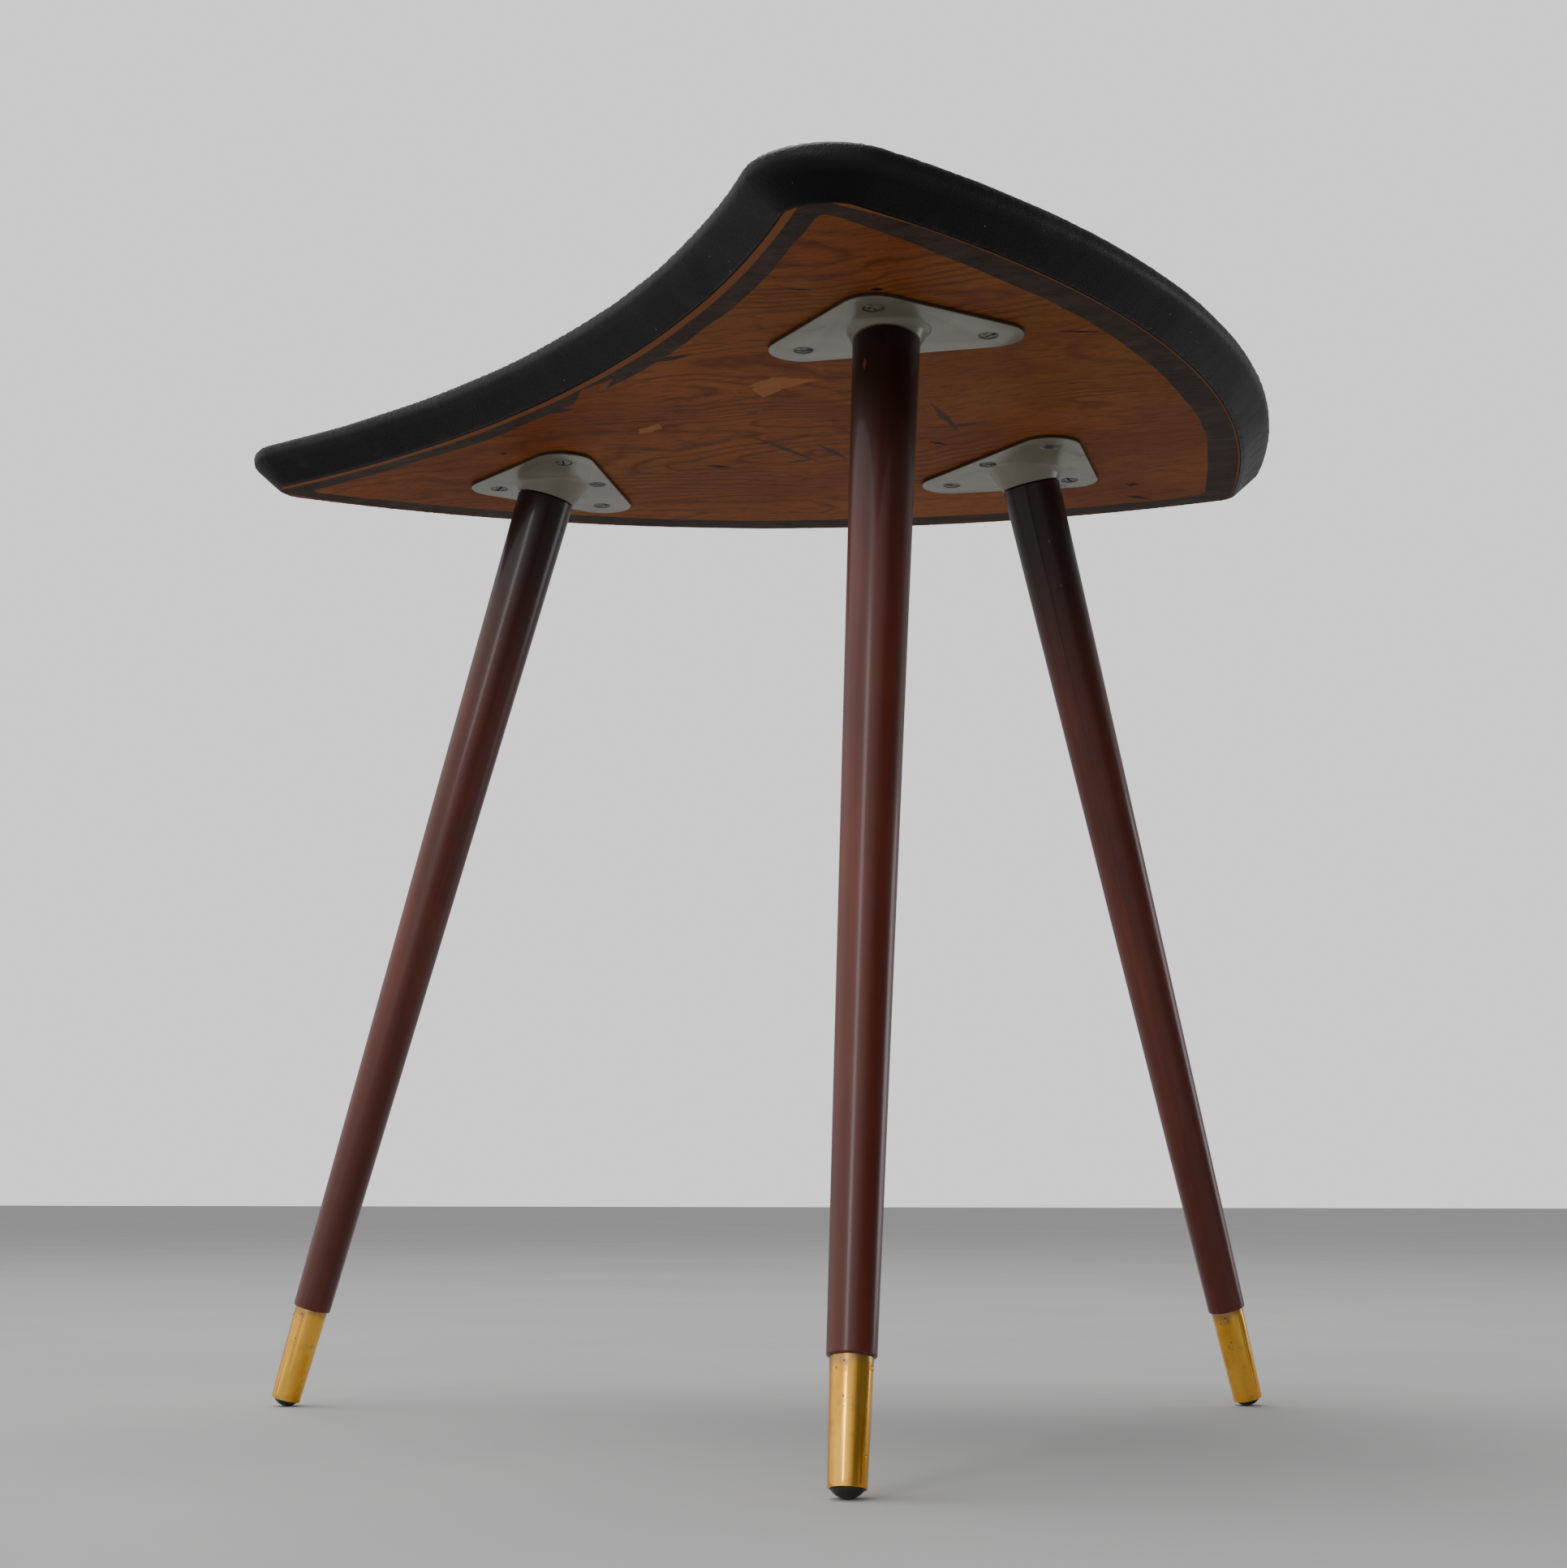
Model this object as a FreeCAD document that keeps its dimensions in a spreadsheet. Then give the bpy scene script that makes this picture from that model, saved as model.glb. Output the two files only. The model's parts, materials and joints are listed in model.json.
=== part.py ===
import FreeCAD, Part
import math
import os
import Sketcher

# A three-legged stool: a bevelled plywood board with a thin pad and a leathercloth cover, on three
# turned and splayed legs. Each leg screws into a pressed plate under the board and ends in a brass
# ferrule with a domed glide.
#
# Frame: millimetres, +Z up, the floor at Z = 0, X and Y centred on the seat's outer edge. The narrow
# nose of the seat points to -Y. "Underside" is the flat lower face of the board.

Vector = FreeCAD.Vector
doc = FreeCAD.newDocument("three_leg_stool")
sheet = doc.addObject("Spreadsheet::Sheet", "Size")

# ---------------------------------------------------------------------------------------------
# Driving sizes: name, value in millimetres or degrees, what it is
# ---------------------------------------------------------------------------------------------
SIZES = [
    ("back_radius", 551.64, "back edge of the underside, an outward arc"),
    ("back_centre_x", 3.09, "its centre"),
    ("back_centre_y", -304.48, "its centre"),
    ("right_radius", 557.43, "right edge of the underside, an outward arc"),
    ("right_centre_x", -294.52, "its centre"),
    ("right_centre_y", 199.22, "its centre"),
    ("left_radius", 690.19, "left edge of the underside, a hollow arc"),
    ("left_centre_x", -655.79, "its centre, outside the seat"),
    ("left_centre_y", -405.95, "its centre, outside the seat"),
    ("nose_radius", 21.0, "front corner, between the left and right edges"),
    ("tip_radius", 16.0, "left corner, between the back and left edges"),
    ("corner_radius", 9.5, "right corner, between the right and back edges"),
    ("veneer_thickness", 1.2, "face veneer under the board"),
    ("board_thickness", 13.8, "plywood above the veneer"),
    ("bevel_top", 12.9, "height of the bevelled edge above the underside"),
    ("bevel_width", 14.05, "how far the bevel leans out"),
    ("bevel_round", 2.9, "rounding where the bevel meets the upright edge"),
    ("padding_thickness", 4.0, "felt and foam on the board"),
    ("padding_round", 2.4, "rounding of the pad's upper edge"),
    ("cover_thickness", 1.1, "leathercloth"),
    ("cover_round", 3.4, "rounding of the cover's upper edge"),
    ("splay", 15.3, "lean of every leg from upright"),
    ("leg_reach", 505.9, "along a leg's axis, from the underside to the ferrule's lower rim"),
    ("left_top_x", -112.77, "where the left leg's axis meets the underside"),
    ("left_top_y", 151.79, "the same"),
    ("left_azimuth", 171.47, "direction the left leg leans to, from +X"),
    ("left_plate_turn", -1.3, "how far the left plate is turned from that direction"),
    ("left_turn", 20.0, "how far the left leg is turned about its own axis"),
    ("front_top_x", 60.06, "where the front leg's axis meets the underside"),
    ("front_top_y", -104.44, "the same"),
    ("front_azimuth", -99.48, "direction the front leg leans to"),
    ("front_plate_turn", -4.5, "how far the front plate is turned from it"),
    ("front_turn", 79.0, "how far the front leg is turned"),
    ("right_top_x", 143.75, "where the right leg's axis meets the underside"),
    ("right_top_y", 121.99, "the same"),
    ("right_azimuth", 29.3, "direction the right leg leans to"),
    ("right_plate_turn", 3.0, "how far the right plate is turned from it"),
    ("right_turn", -141.0, "how far the right leg is turned"),
    ("plate_thickness", 2.0, "pressed sheet of the leg plate"),
    ("toe_reach", 28.8, "outer screw hole, from the leg's axis"),
    ("toe_round", 15.0, "plate corner round that hole"),
    ("heel_reach", 26.1, "inner screw hole, from the leg's axis"),
    ("wing_back", 18.3, "the two side holes, behind the axis"),
    ("wing_side", 42.6, "the two side holes, to each side"),
    ("wing_round", 16.0, "plate corners round the side holes"),
    ("boss_base", 19.1, "radius of the raised boss where it leaves the plate"),
    ("boss_face", 15.4, "radius of the boss where the leg seats"),
    ("boss_depth", 9.1, "along the axis, from the underside to the leg's seat"),
    ("boss_wall", 2.4, "wall of the boss"),
    ("boss_end_wall", 2.4, "end wall of the boss, which the bolt passes through"),
    ("boss_fillet", 4.0, "hollow between boss and plate"),
    ("screw_head", 4.2, "radius of a plate screw's head"),
    ("screw_head_height", 1.7, "countersunk part of the head"),
    ("screw_crown", 0.4, "how far the head's middle stands out"),
    ("head_sink", 0.25, "how far the head's rim sits above the plate's lower face"),
    ("screw_shank", 2.0, "radius of the shank"),
    ("screw_length", 15.0, "from the head's rim to the point"),
    ("slot_width", 1.1, "driver slot"),
    ("slot_depth", 1.1, "driver slot, from the crown"),
    ("screw_clearance", 0.05, "round a screw, in its plate and its pilot hole"),
    ("pilot_spare", 0.5, "free hole past a screw's point"),
    ("head_clearance", 0.2, "round a screw's head, in the countersink"),
    ("nut_radius", 7.2, "corner radius of the hexagon nut inside the boss"),
    ("nut_height", 4.0, "hexagon nut"),
    ("bolt_radius", 4.0, "machine-threaded end of the hanger bolt"),
    ("bolt_rise", 6.0, "how far the bolt's upper end stands above the underside"),
    ("bolt_step", 32.0, "depth at which the bolt narrows to its wood screw"),
    ("bolt_screw", 3.0, "radius of the wood screw"),
    ("bolt_point", 54.0, "depth at which the wood screw starts to taper"),
    ("bolt_end", 60.0, "depth of the bolt's point"),
    ("bolt_chamfer", 0.8, "bolt's upper end"),
    ("recess_radius", 6.0, "recess in the board round the bolt's upper end"),
    ("recess_spare", 2.0, "free recess past the bolt's upper end"),
    ("bolt_clearance", 0.05, "round the bolt, in boss, nut and leg"),
    ("bolt_spare", 0.5, "free hole past the bolt's step and point"),
    ("leg_head", 15.05, "radius of a leg's upper end"),
    ("leg_ankle", 9.65, "radius of the wood just above the ferrule"),
    ("leg_bevel", 1.0, "eased edge at the leg's upper end"),
    ("ankle_bevel", 0.5, "eased edge above the ferrule"),
    ("ferrule_length", 48.0, "brass ferrule along the axis"),
    ("ferrule_top", 8.4, "outer radius at its upper rim"),
    ("ferrule_foot", 7.5, "outer radius at its lower rim"),
    ("ferrule_wall", 0.8, "brass sheet"),
    ("ferrule_clearance", 0.05, "between ferrule and the wood inside it"),
    ("pin_radius", 1.0, "pin that holds the ferrule"),
    ("pin_length", 6.0, "pin, with its head"),
    ("pin_drop", 4.5, "pin below the ferrule's upper rim"),
    ("pin_proud", 0.25, "how far the pin stands out"),
    ("pin_clearance", 0.05, "round the pin"),
    ("glide_radius", 6.5, "domed glide under the leg"),
    ("glide_dome", 3.5, "how far the dome stands below the rim"),
    ("glide_collar", 2.0, "collar inside the ferrule"),
    ("nail_radius", 1.3, "nail of the glide"),
    ("nail_length", 14.0, "nail above the collar"),
    ("nail_clearance", 0.05, "round the nail"),
]

for row, (alias, value, meaning) in enumerate(SIZES, start=1):
    sheet.set("A%d" % row, alias)
    sheet.set("B%d" % row, str(value))
    sheet.set("C%d" % row, meaning)
    sheet.setAlias("B%d" % row, alias)
doc.recompute()


def number(text):
    """The value of an expression on the sheet."""
    return float(sheet.evalExpression(text))


# Heights and places worked out from the sizes, as expressions
GLIDE_SPHERE = "((Size.glide_radius ^ 2 + Size.glide_dome ^ 2) / (2 * Size.glide_dome))"
GLIDE_RISE = "(%s - Size.glide_dome)" % GLIDE_SPHERE
UNDERSIDE = "(%s + (Size.leg_reach - %s) * cos(Size.splay))" % (GLIDE_SPHERE, GLIDE_RISE)
BOARD_TOP = "(Size.veneer_thickness + Size.board_thickness)"
PADDING_TOP = "(%s + Size.padding_thickness)" % BOARD_TOP
COVER_TOP = "(%s + Size.cover_thickness)" % PADDING_TOP
ANKLE = "(Size.leg_reach - Size.ferrule_length)"
PIN_DEPTH = "(%s + Size.pin_drop)" % ANKLE
FERRULE_SLOPE = "((Size.ferrule_top - Size.ferrule_foot) / Size.ferrule_length)"
BOSS_SLOPE = "((Size.boss_base - Size.boss_face) / Size.boss_depth)"
# a leaning boss has to reach this far above the underside before it is cut flat
BOSS_RISE = "(Size.boss_base * tan(Size.splay) + 4)"
SEAT_PLACE = "placement(vector(0; 0; %s); rotationz(0))" % UNDERSIDE

LEGS = ["left", "front", "right"]


def plate_place(leg):
    """Placement on the underside at a leg's axis, local +X in the direction the leg leans."""
    spot = "vector(Size.%s_top_x; Size.%s_top_y; %s)" % (leg, leg, UNDERSIDE)
    return "placement(%s; rotationz(Size.%s_azimuth))" % (spot, leg)


def leg_place(leg):
    """Placement of what is turned about a leg's axis: local -Z runs down the leg."""
    lean = "rotationy(-Size.splay) * rotationz(Size.%s_turn)" % leg
    return "%s * placement(vector(0; 0; 0); %s)" % (plate_place(leg), lean)


# ---------------------------------------------------------------------------------------------
# Modelling helpers
# ---------------------------------------------------------------------------------------------
nodes = {}


def new_body(label, place, kept=True):
    """An empty body with its placement bound to the sheet. A kept body becomes a node."""
    body = doc.addObject("PartDesign::Body", label)
    body.Label = label
    body.setExpression("Placement", place)
    if kept:
        nodes[label] = body
    return body


def new_sketch(body, role, height="0"):
    """A sketch on one of the body's own planes, moved along its normal by an expression."""
    sketch = body.newObject("Sketcher::SketchObject", body.Name + "_sketch")
    plane = [f for f in body.Origin.OriginFeatures if f.Role == role][0]
    sketch.AttachmentSupport = [(plane, "")]
    sketch.MapMode = "FlatFace"
    if height != "0":
        sketch.setExpression(".AttachmentOffset.Base.z", height)
    return sketch


def bind(sketch, kind, where, text, name):
    """One dimension of a sketch, bound to an expression."""
    index = sketch.addConstraint(Sketcher.Constraint(kind, *where, number(text)))
    sketch.renameConstraint(index, name)
    sketch.setExpression("Constraints." + name, text)


def place_point(sketch, element, vertex, x_text, y_text, name):
    """Holds a sketch point at two expressions; "0" means on the axis."""
    point = (element, vertex)
    if x_text == "0":
        sketch.addConstraint(Sketcher.Constraint("PointOnObject", *point, -2))
    else:
        bind(sketch, "DistanceX", (-1, 1) + point, x_text, name + "_x")
    if y_text == "0":
        sketch.addConstraint(Sketcher.Constraint("PointOnObject", *point, -1))
    else:
        bind(sketch, "DistanceY", (-1, 1) + point, y_text, name + "_y")


def draw_profile(sketch, points):
    """A closed run of straight lines through points given as (x, y) expressions."""
    corners = [Vector(number(x), number(y), 0) for x, y in points]
    count = len(points)
    for i in range(count):
        sketch.addGeometry(Part.LineSegment(corners[i], corners[(i + 1) % count]), False)
    for i in range(count):
        sketch.addConstraint(Sketcher.Constraint("Coincident", i, 2, (i + 1) % count, 1))
    for i, (x, y) in enumerate(points):
        place_point(sketch, i, 1, x, y, "corner_%d" % i)


def revolve(body, points, kind="PartDesign::Revolution", lean=None):
    """Turns a profile of (radius, height) expressions about the body's Z axis, or a leaning one."""
    sketch = new_sketch(body, "XZ_Plane")
    if lean:
        upright = FreeCAD.Rotation(Vector(0, 0, 1), number(lean))
        sketch.AttachmentOffset = FreeCAD.Placement(Vector(), upright)
        sketch.setExpression(".AttachmentOffset.Rotation.Angle", lean)
    draw_profile(sketch, points)
    turned = body.newObject(kind, body.Name + "_turned")
    turned.Profile = sketch
    turned.ReferenceAxis = (sketch, ["V_Axis"])
    turned.Angle = 360
    doc.recompute()
    return turned


def primitive(body, kind, place, **sizes):
    """A box, cylinder, cone, prism or sphere feature with every size bound to an expression."""
    feature = body.newObject("PartDesign::" + kind, body.Name + "_" + kind.lower())
    for prop, text in sizes.items():
        feature.setExpression(prop, text)
    feature.setExpression("Placement", place)
    doc.recompute()
    return feature


def at_height(height, rotation="rotationz(0)"):
    """A placement expression on the local Z axis."""
    return "placement(vector(0; 0; %s); %s)" % (height, rotation)


def round_edges(body, base, wanted, radius):
    """Fillets the edges of base for which wanted(edge) is true."""
    names = ["Edge%d" % (i + 1) for i, edge in enumerate(base.Shape.Edges) if wanted(edge)]
    fillet = body.newObject("PartDesign::Fillet", body.Name + "_round")
    fillet.Base = (base, names)
    fillet.setExpression("Radius", radius)
    doc.recompute()
    return fillet


def flat_at(height):
    """A test for edges that lie level at a height."""
    def test(edge):
        box = edge.BoundBox
        return abs(box.ZMin - height) < 1e-4 and abs(box.ZMax - height) < 1e-4
    return test


# ---------------------------------------------------------------------------------------------
# Seat outline: three long arcs joined by three tangent corner arcs
# ---------------------------------------------------------------------------------------------
# (edge, +1 for an outward arc and -1 for a hollow one), anticlockwise from the nose
EDGES = [("right", 1), ("back", 1), ("left", -1)]
# each corner lies between two edges, near a point that tells it from the other crossing
CORNERS = [
    ("corner", "right", "back", (1, 1)),
    ("tip", "back", "left", (-1, 1)),
    ("nose", "left", "right", (0, -1)),
]
NEAR = 250.0


def crossing(centre_a, reach_a, centre_b, reach_b, near):
    """The point at given distances from two centres that is nearest to near."""
    across = centre_b - centre_a
    gap = across.Length
    along = (reach_a ** 2 - reach_b ** 2 + gap ** 2) / (2 * gap)
    aside = math.sqrt(reach_a ** 2 - along ** 2)
    unit = across / gap
    normal = Vector(-unit.y, unit.x, 0)
    found = [centre_a + unit * along + normal * side for side in (aside, -aside)]
    return min(found, key=lambda point: (point - near).Length)


def arc_between(centre, radius, start, end):
    """The anticlockwise arc of a circle from start to end."""
    first = math.atan2(start.y - centre.y, start.x - centre.x)
    last = math.atan2(end.y - centre.y, end.x - centre.x)
    if last < first:
        last += 2 * math.pi
    return Part.ArcOfCircle(Part.Circle(centre, Vector(0, 0, 1), radius), first, last)


def outline(body, grow, height):
    """Sketch of the seat's outline at a height, moved outwards by grow. Both are expressions."""
    sketch = new_sketch(body, "XY_Plane", height)
    radius_text = {}
    centre = {}
    hand = dict(EDGES)
    for edge, sign in EDGES:
        radius_text[edge] = "Size.%s_radius %s %s" % (edge, "+" if sign > 0 else "-", grow)
        centre[edge] = Vector(number("Size.%s_centre_x" % edge), number("Size.%s_centre_y" % edge), 0)
    touch = {}
    for name, before, after, (side_x, side_y) in CORNERS:
        radius_text[name] = "Size.%s_radius + %s" % (name, grow)
        radius = number(radius_text[name])
        reach = {e: number(radius_text[e]) - hand[e] * radius for e in (before, after)}
        near = Vector(side_x * NEAR, side_y * NEAR, 0)
        centre[name] = crossing(centre[before], reach[before], centre[after], reach[after], near)
        for edge in (before, after):
            out = (centre[name] - centre[edge]).normalize()
            touch[edge, name] = centre[edge] + out * number(radius_text[edge])

    # anticlockwise round the seat; the hollow edge is the one arc drawn backwards
    runs = [
        ("right", ("right", "nose"), ("right", "corner")),
        ("corner", ("right", "corner"), ("back", "corner")),
        ("back", ("back", "corner"), ("back", "tip")),
        ("tip", ("back", "tip"), ("left", "tip")),
        ("left", ("left", "nose"), ("left", "tip")),
        ("nose", ("left", "nose"), ("right", "nose")),
    ]
    for name, start, end in runs:
        arc = arc_between(centre[name], number(radius_text[name]), touch[start], touch[end])
        sketch.addGeometry(arc, False)
    joints = [(0, 2, 1, 1), (1, 2, 2, 1), (2, 2, 3, 1), (3, 2, 4, 2), (4, 1, 5, 1), (5, 2, 0, 1)]
    for joint in joints:
        sketch.addConstraint(Sketcher.Constraint("Tangent", *joint))
    for index, (name, start, end) in enumerate(runs):
        bind(sketch, "Radius", (index,), radius_text[name], name + "_radius")
        if name in hand:
            centre_x = "Size.%s_centre_x" % name
            centre_y = "Size.%s_centre_y" % name
            place_point(sketch, index, 3, centre_x, centre_y, name + "_centre")
    return sketch


def pad(body, sketch, length):
    feature = body.newObject("PartDesign::Pad", body.Name + "_pad")
    feature.Profile = sketch
    feature.setExpression("Length", length)
    doc.recompute()
    return feature


def seat_layer(label, low_grow, low, high_grow, high, top, kept=True):
    """A layer of the seat whose edge leans out from low to high and then stands up to top."""
    body = new_body(label, SEAT_PLACE, kept)
    lower = outline(body, low_grow, low)
    upper = outline(body, high_grow, high)
    doc.recompute()
    bevel = body.newObject("PartDesign::AdditiveLoft", body.Name + "_bevel")
    bevel.Profile = lower
    bevel.Sections = [upper]
    bevel.Ruled = True
    doc.recompute()
    return body, pad(body, upper, "%s - %s" % (top, high))


# ---------------------------------------------------------------------------------------------
# Seat: veneer, board, padding and cover
# ---------------------------------------------------------------------------------------------
SCREW_HOLES = [
    ("Size.toe_reach", "0"),
    ("-Size.heel_reach", "0"),
    ("-Size.wing_back", "Size.wing_side"),
    ("-Size.wing_back", "-Size.wing_side"),
]
PILOT_RADIUS = "Size.screw_shank + Size.screw_clearance"
RECESS_DEPTH = "(Size.bolt_rise + Size.recess_spare)"
PILOT_DEPTH = "Size.screw_length + Size.head_sink - Size.plate_thickness + Size.pilot_spare"


def hole_place(leg, x, y, height):
    """Placement of a plate's screw hole, in the frame whose X is the leg's direction."""
    turn = "placement(vector(0; 0; 0); rotationz(Size.%s_plate_turn))" % leg
    return "%s * placement(vector(%s; %s; %s); rotationz(0))" % (turn, x, y, height)


def drill(body):
    """Pilot holes for the plate screws and a leaning recess for each hanger bolt."""
    for leg in LEGS:
        spot = "vector(Size.%s_top_x; Size.%s_top_y; 0)" % (leg, leg)
        lean = "rotationz(Size.%s_azimuth) * rotationy(-Size.splay)" % leg
        for x, y in SCREW_HOLES:
            place = "placement(%s; rotationz(Size.%s_azimuth)) * %s" % (spot, leg, hole_place(leg, x, y, "0"))
            primitive(body, "SubtractiveCylinder", place, Radius=PILOT_RADIUS, Height=PILOT_DEPTH)
        place = "placement(%s; %s) * %s" % (spot, lean, at_height("-" + RECESS_DEPTH))
        through = "2 * " + RECESS_DEPTH
        primitive(body, "SubtractiveCylinder", place, Radius="Size.recess_radius", Height=through)


veneer = new_body("underside_veneer", SEAT_PLACE)
pad(veneer, outline(veneer, "0", "0"), "Size.veneer_thickness")
drill(veneer)

# the board's bevel carries on the line that starts at the underside's edge
VENEER_LEAN = "Size.bevel_width * Size.veneer_thickness / Size.bevel_top"
board, board_pad = seat_layer(
    "seat_board", VENEER_LEAN, "Size.veneer_thickness", "Size.bevel_width", "Size.bevel_top", BOARD_TOP
)
round_edges(board, board_pad, flat_at(number("Size.bevel_top")), "Size.bevel_round")
drill(board)

padding = new_body("seat_padding", SEAT_PLACE)
padding_pad = pad(padding, outline(padding, "Size.bevel_width", BOARD_TOP), "Size.padding_thickness")
round_edges(padding, padding_pad, flat_at(number(PADDING_TOP)), "Size.padding_round")

COVER_GROW = "(Size.bevel_width + Size.cover_thickness)"
shell, shell_pad = seat_layer(
    "cover_outside", "Size.cover_thickness", "0", COVER_GROW, "Size.bevel_top", COVER_TOP, kept=False
)
shell_top = round_edges(shell, shell_pad, flat_at(number(COVER_TOP)), "Size.cover_round")
round_edges(shell, shell_top, flat_at(number("Size.bevel_top")), "Size.bevel_round + Size.cover_thickness")
hollow, hollow_pad = seat_layer(
    "cover_inside", "0", "0", "Size.bevel_width", "Size.bevel_top", PADDING_TOP, kept=False
)
hollow_top = round_edges(hollow, hollow_pad, flat_at(number(PADDING_TOP)), "Size.padding_round")
round_edges(hollow, hollow_top, flat_at(number("Size.bevel_top")), "Size.bevel_round")
cover = doc.addObject("Part::Cut", "seat_cover")
cover.Label = "seat_cover"
cover.Base = shell
cover.Tool = hollow
nodes["seat_cover"] = cover
doc.recompute()


# ---------------------------------------------------------------------------------------------
# Leg plate: pressed sheet with a leaning boss, a nut inside it and four wood screws
# ---------------------------------------------------------------------------------------------
def plate_outline(sketch):
    """Three corner arcs joined by straight edges: toe, then the two wings."""
    corners = [
        ("toe", "Size.toe_reach", "0", "Size.toe_round"),
        ("wing_left", "-Size.wing_back", "Size.wing_side", "Size.wing_round"),
        ("wing_right", "-Size.wing_back", "-Size.wing_side", "Size.wing_round"),
    ]
    centres = [Vector(number(x), number(y), 0) for name, x, y, r in corners]
    radii = [number(r) for name, x, y, r in corners]

    def edge_ends(a, b):
        """Where the outer tangent from corner a to corner b touches each."""
        across = centres[b] - centres[a]
        lean = math.asin((radii[a] - radii[b]) / across.Length)
        normal = Vector(across.y, -across.x, 0).normalize()
        unit = Vector(across.x, across.y, 0).normalize()
        out = normal * math.cos(lean) + unit * math.sin(lean)
        return centres[a] + out * radii[a], centres[b] + out * radii[b]

    ends = [edge_ends(i, (i + 1) % 3) for i in range(3)]
    for i in range(3):
        sketch.addGeometry(arc_between(centres[i], radii[i], ends[i - 1][1], ends[i][0]), False)
        sketch.addGeometry(Part.LineSegment(*ends[i]), False)
    for i in range(3):
        arc, line, following = 2 * i, 2 * i + 1, (2 * i + 2) % 6
        sketch.addConstraint(Sketcher.Constraint("Tangent", arc, 2, line, 1))
        sketch.addConstraint(Sketcher.Constraint("Tangent", line, 2, following, 1))
    for i, (name, x, y, r) in enumerate(corners):
        bind(sketch, "Radius", (2 * i,), r, name + "_radius")
        place_point(sketch, 2 * i, 3, x, y, name)


def boss_profile(wall, bottom):
    """Cone of the boss, less a wall, from above the underside down to bottom."""
    top_radius = "Size.boss_base + %s * %s - %s" % (BOSS_RISE, BOSS_SLOPE, wall)
    low_radius = "Size.boss_base - %s * %s - %s" % (bottom, BOSS_SLOPE, wall)
    return [("0", BOSS_RISE), (top_radius, BOSS_RISE), (low_radius, "-" + bottom)]


def leg_plate(leg):
    body = new_body("leg_plate_" + leg, plate_place(leg))
    sketch = new_sketch(body, "XY_Plane", "-Size.plate_thickness")
    turn = "Size.%s_plate_turn" % leg
    sketch.AttachmentOffset = FreeCAD.Placement(Vector(), FreeCAD.Rotation(Vector(0, 0, 1), number(turn)))
    sketch.setExpression(".AttachmentOffset.Rotation.Angle", turn)
    plate_outline(sketch)
    pad(body, sketch, "Size.plate_thickness")
    solid_boss = boss_profile("0", "Size.boss_depth") + [("0", "-Size.boss_depth")]
    boss = revolve(body, solid_boss, lean="Size.splay")

    level = -number("Size.plate_thickness")
    reach = number("Size.boss_base") * 1.3

    def boss_foot(edge):
        box = edge.BoundBox
        near_axis = max(abs(box.XMin), abs(box.XMax), abs(box.YMin), abs(box.YMax)) < reach
        return near_axis and abs(box.ZMin - level) < 1e-3 and abs(box.ZMax - level) < 1e-3

    boss = round_edges(body, boss, boss_foot, "Size.boss_fillet")

    floor = "(Size.boss_depth - Size.boss_end_wall)"
    bore = "Size.bolt_radius + Size.bolt_clearance"
    past = "-(Size.boss_depth + 1)"
    cavity = boss_profile("Size.boss_wall", floor) + [(bore, "-" + floor), (bore, past), ("0", past)]
    revolve(body, cavity, "PartDesign::Groove", lean="Size.splay")

    # everything above the underside goes
    half = "(2 * Size.boss_base)"
    corner = "placement(vector(-%s; -%s; 0); rotationz(0))" % (half, half)
    primitive(
        body, "SubtractiveBox", corner, Length="2 * " + half, Width="2 * " + half, Height="2 * " + BOSS_RISE
    )
    flare = "(Size.screw_head - Size.screw_shank) / Size.screw_head_height"
    wide = "Size.screw_head + Size.head_clearance + Size.head_sink * " + flare
    narrow = "Size.screw_shank + Size.head_clearance"
    sink = "Size.head_sink + Size.screw_head_height"
    for x, y in SCREW_HOLES:
        place = hole_place(leg, x, y, "-Size.plate_thickness")
        primitive(body, "SubtractiveCylinder", place, Radius=PILOT_RADIUS, Height="Size.plate_thickness + 1")
        primitive(body, "SubtractiveCone", place, Radius1=wide, Radius2=narrow, Height=sink)


def leg_nut(leg):
    body = new_body("leg_nut_" + leg, leg_place(leg))
    base = at_height("-(Size.boss_depth - Size.boss_end_wall)")
    prism = primitive(body, "AdditivePrism", base, Circumradius="Size.nut_radius", Height="Size.nut_height")
    prism.Polygon = 6
    bore = "Size.bolt_radius + Size.bolt_clearance"
    primitive(body, "SubtractiveCylinder", base, Radius=bore, Height="Size.nut_height")


# slot directions, one for each screw of a plate
SLOT_TURNS = {"left": [35, 100, 10, 65], "front": [20, 80, 150, 5], "right": [120, 40, 75, 160]}
# the right plate has lost the screw of its last hole
MISSING_SCREW = {"right": 3}


def leg_screws(leg):
    """The screws of one plate, as a group of separate solids."""
    screws = []
    for index, (x, y) in enumerate(SCREW_HOLES):
        if MISSING_SCREW.get(leg) == index:
            continue
        hole = hole_place(leg, x, y, "Size.head_sink - Size.plate_thickness")
        slot_turn = at_height("0", "rotationz(%d)" % SLOT_TURNS[leg][index])
        place = "%s * %s * %s" % (plate_place(leg), hole, slot_turn)
        body = new_body("leg_screw_%s_%d" % (leg, index), place, kept=False)
        revolve(body, [
            ("0", "-Size.screw_crown"),
            ("Size.screw_head * 0.5", "-Size.screw_crown * 0.8"),
            ("Size.screw_head", "0"),
            ("Size.screw_shank", "Size.screw_head_height"),
            ("Size.screw_shank", "Size.screw_length - 2 * Size.screw_shank"),
            ("0", "Size.screw_length"),
        ])
        slot = "placement(vector(-Size.slot_width / 2; -Size.screw_head; -Size.screw_crown); rotationz(0))"
        primitive(
            body, "SubtractiveBox", slot,
            Length="Size.slot_width", Width="2 * Size.screw_head", Height="Size.slot_depth",
        )
        screws.append(body)
    group = doc.addObject("Part::Compound", "leg_screws_" + leg)
    group.Label = "leg_screws_" + leg
    group.Links = screws
    nodes[group.Label] = group


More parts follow.
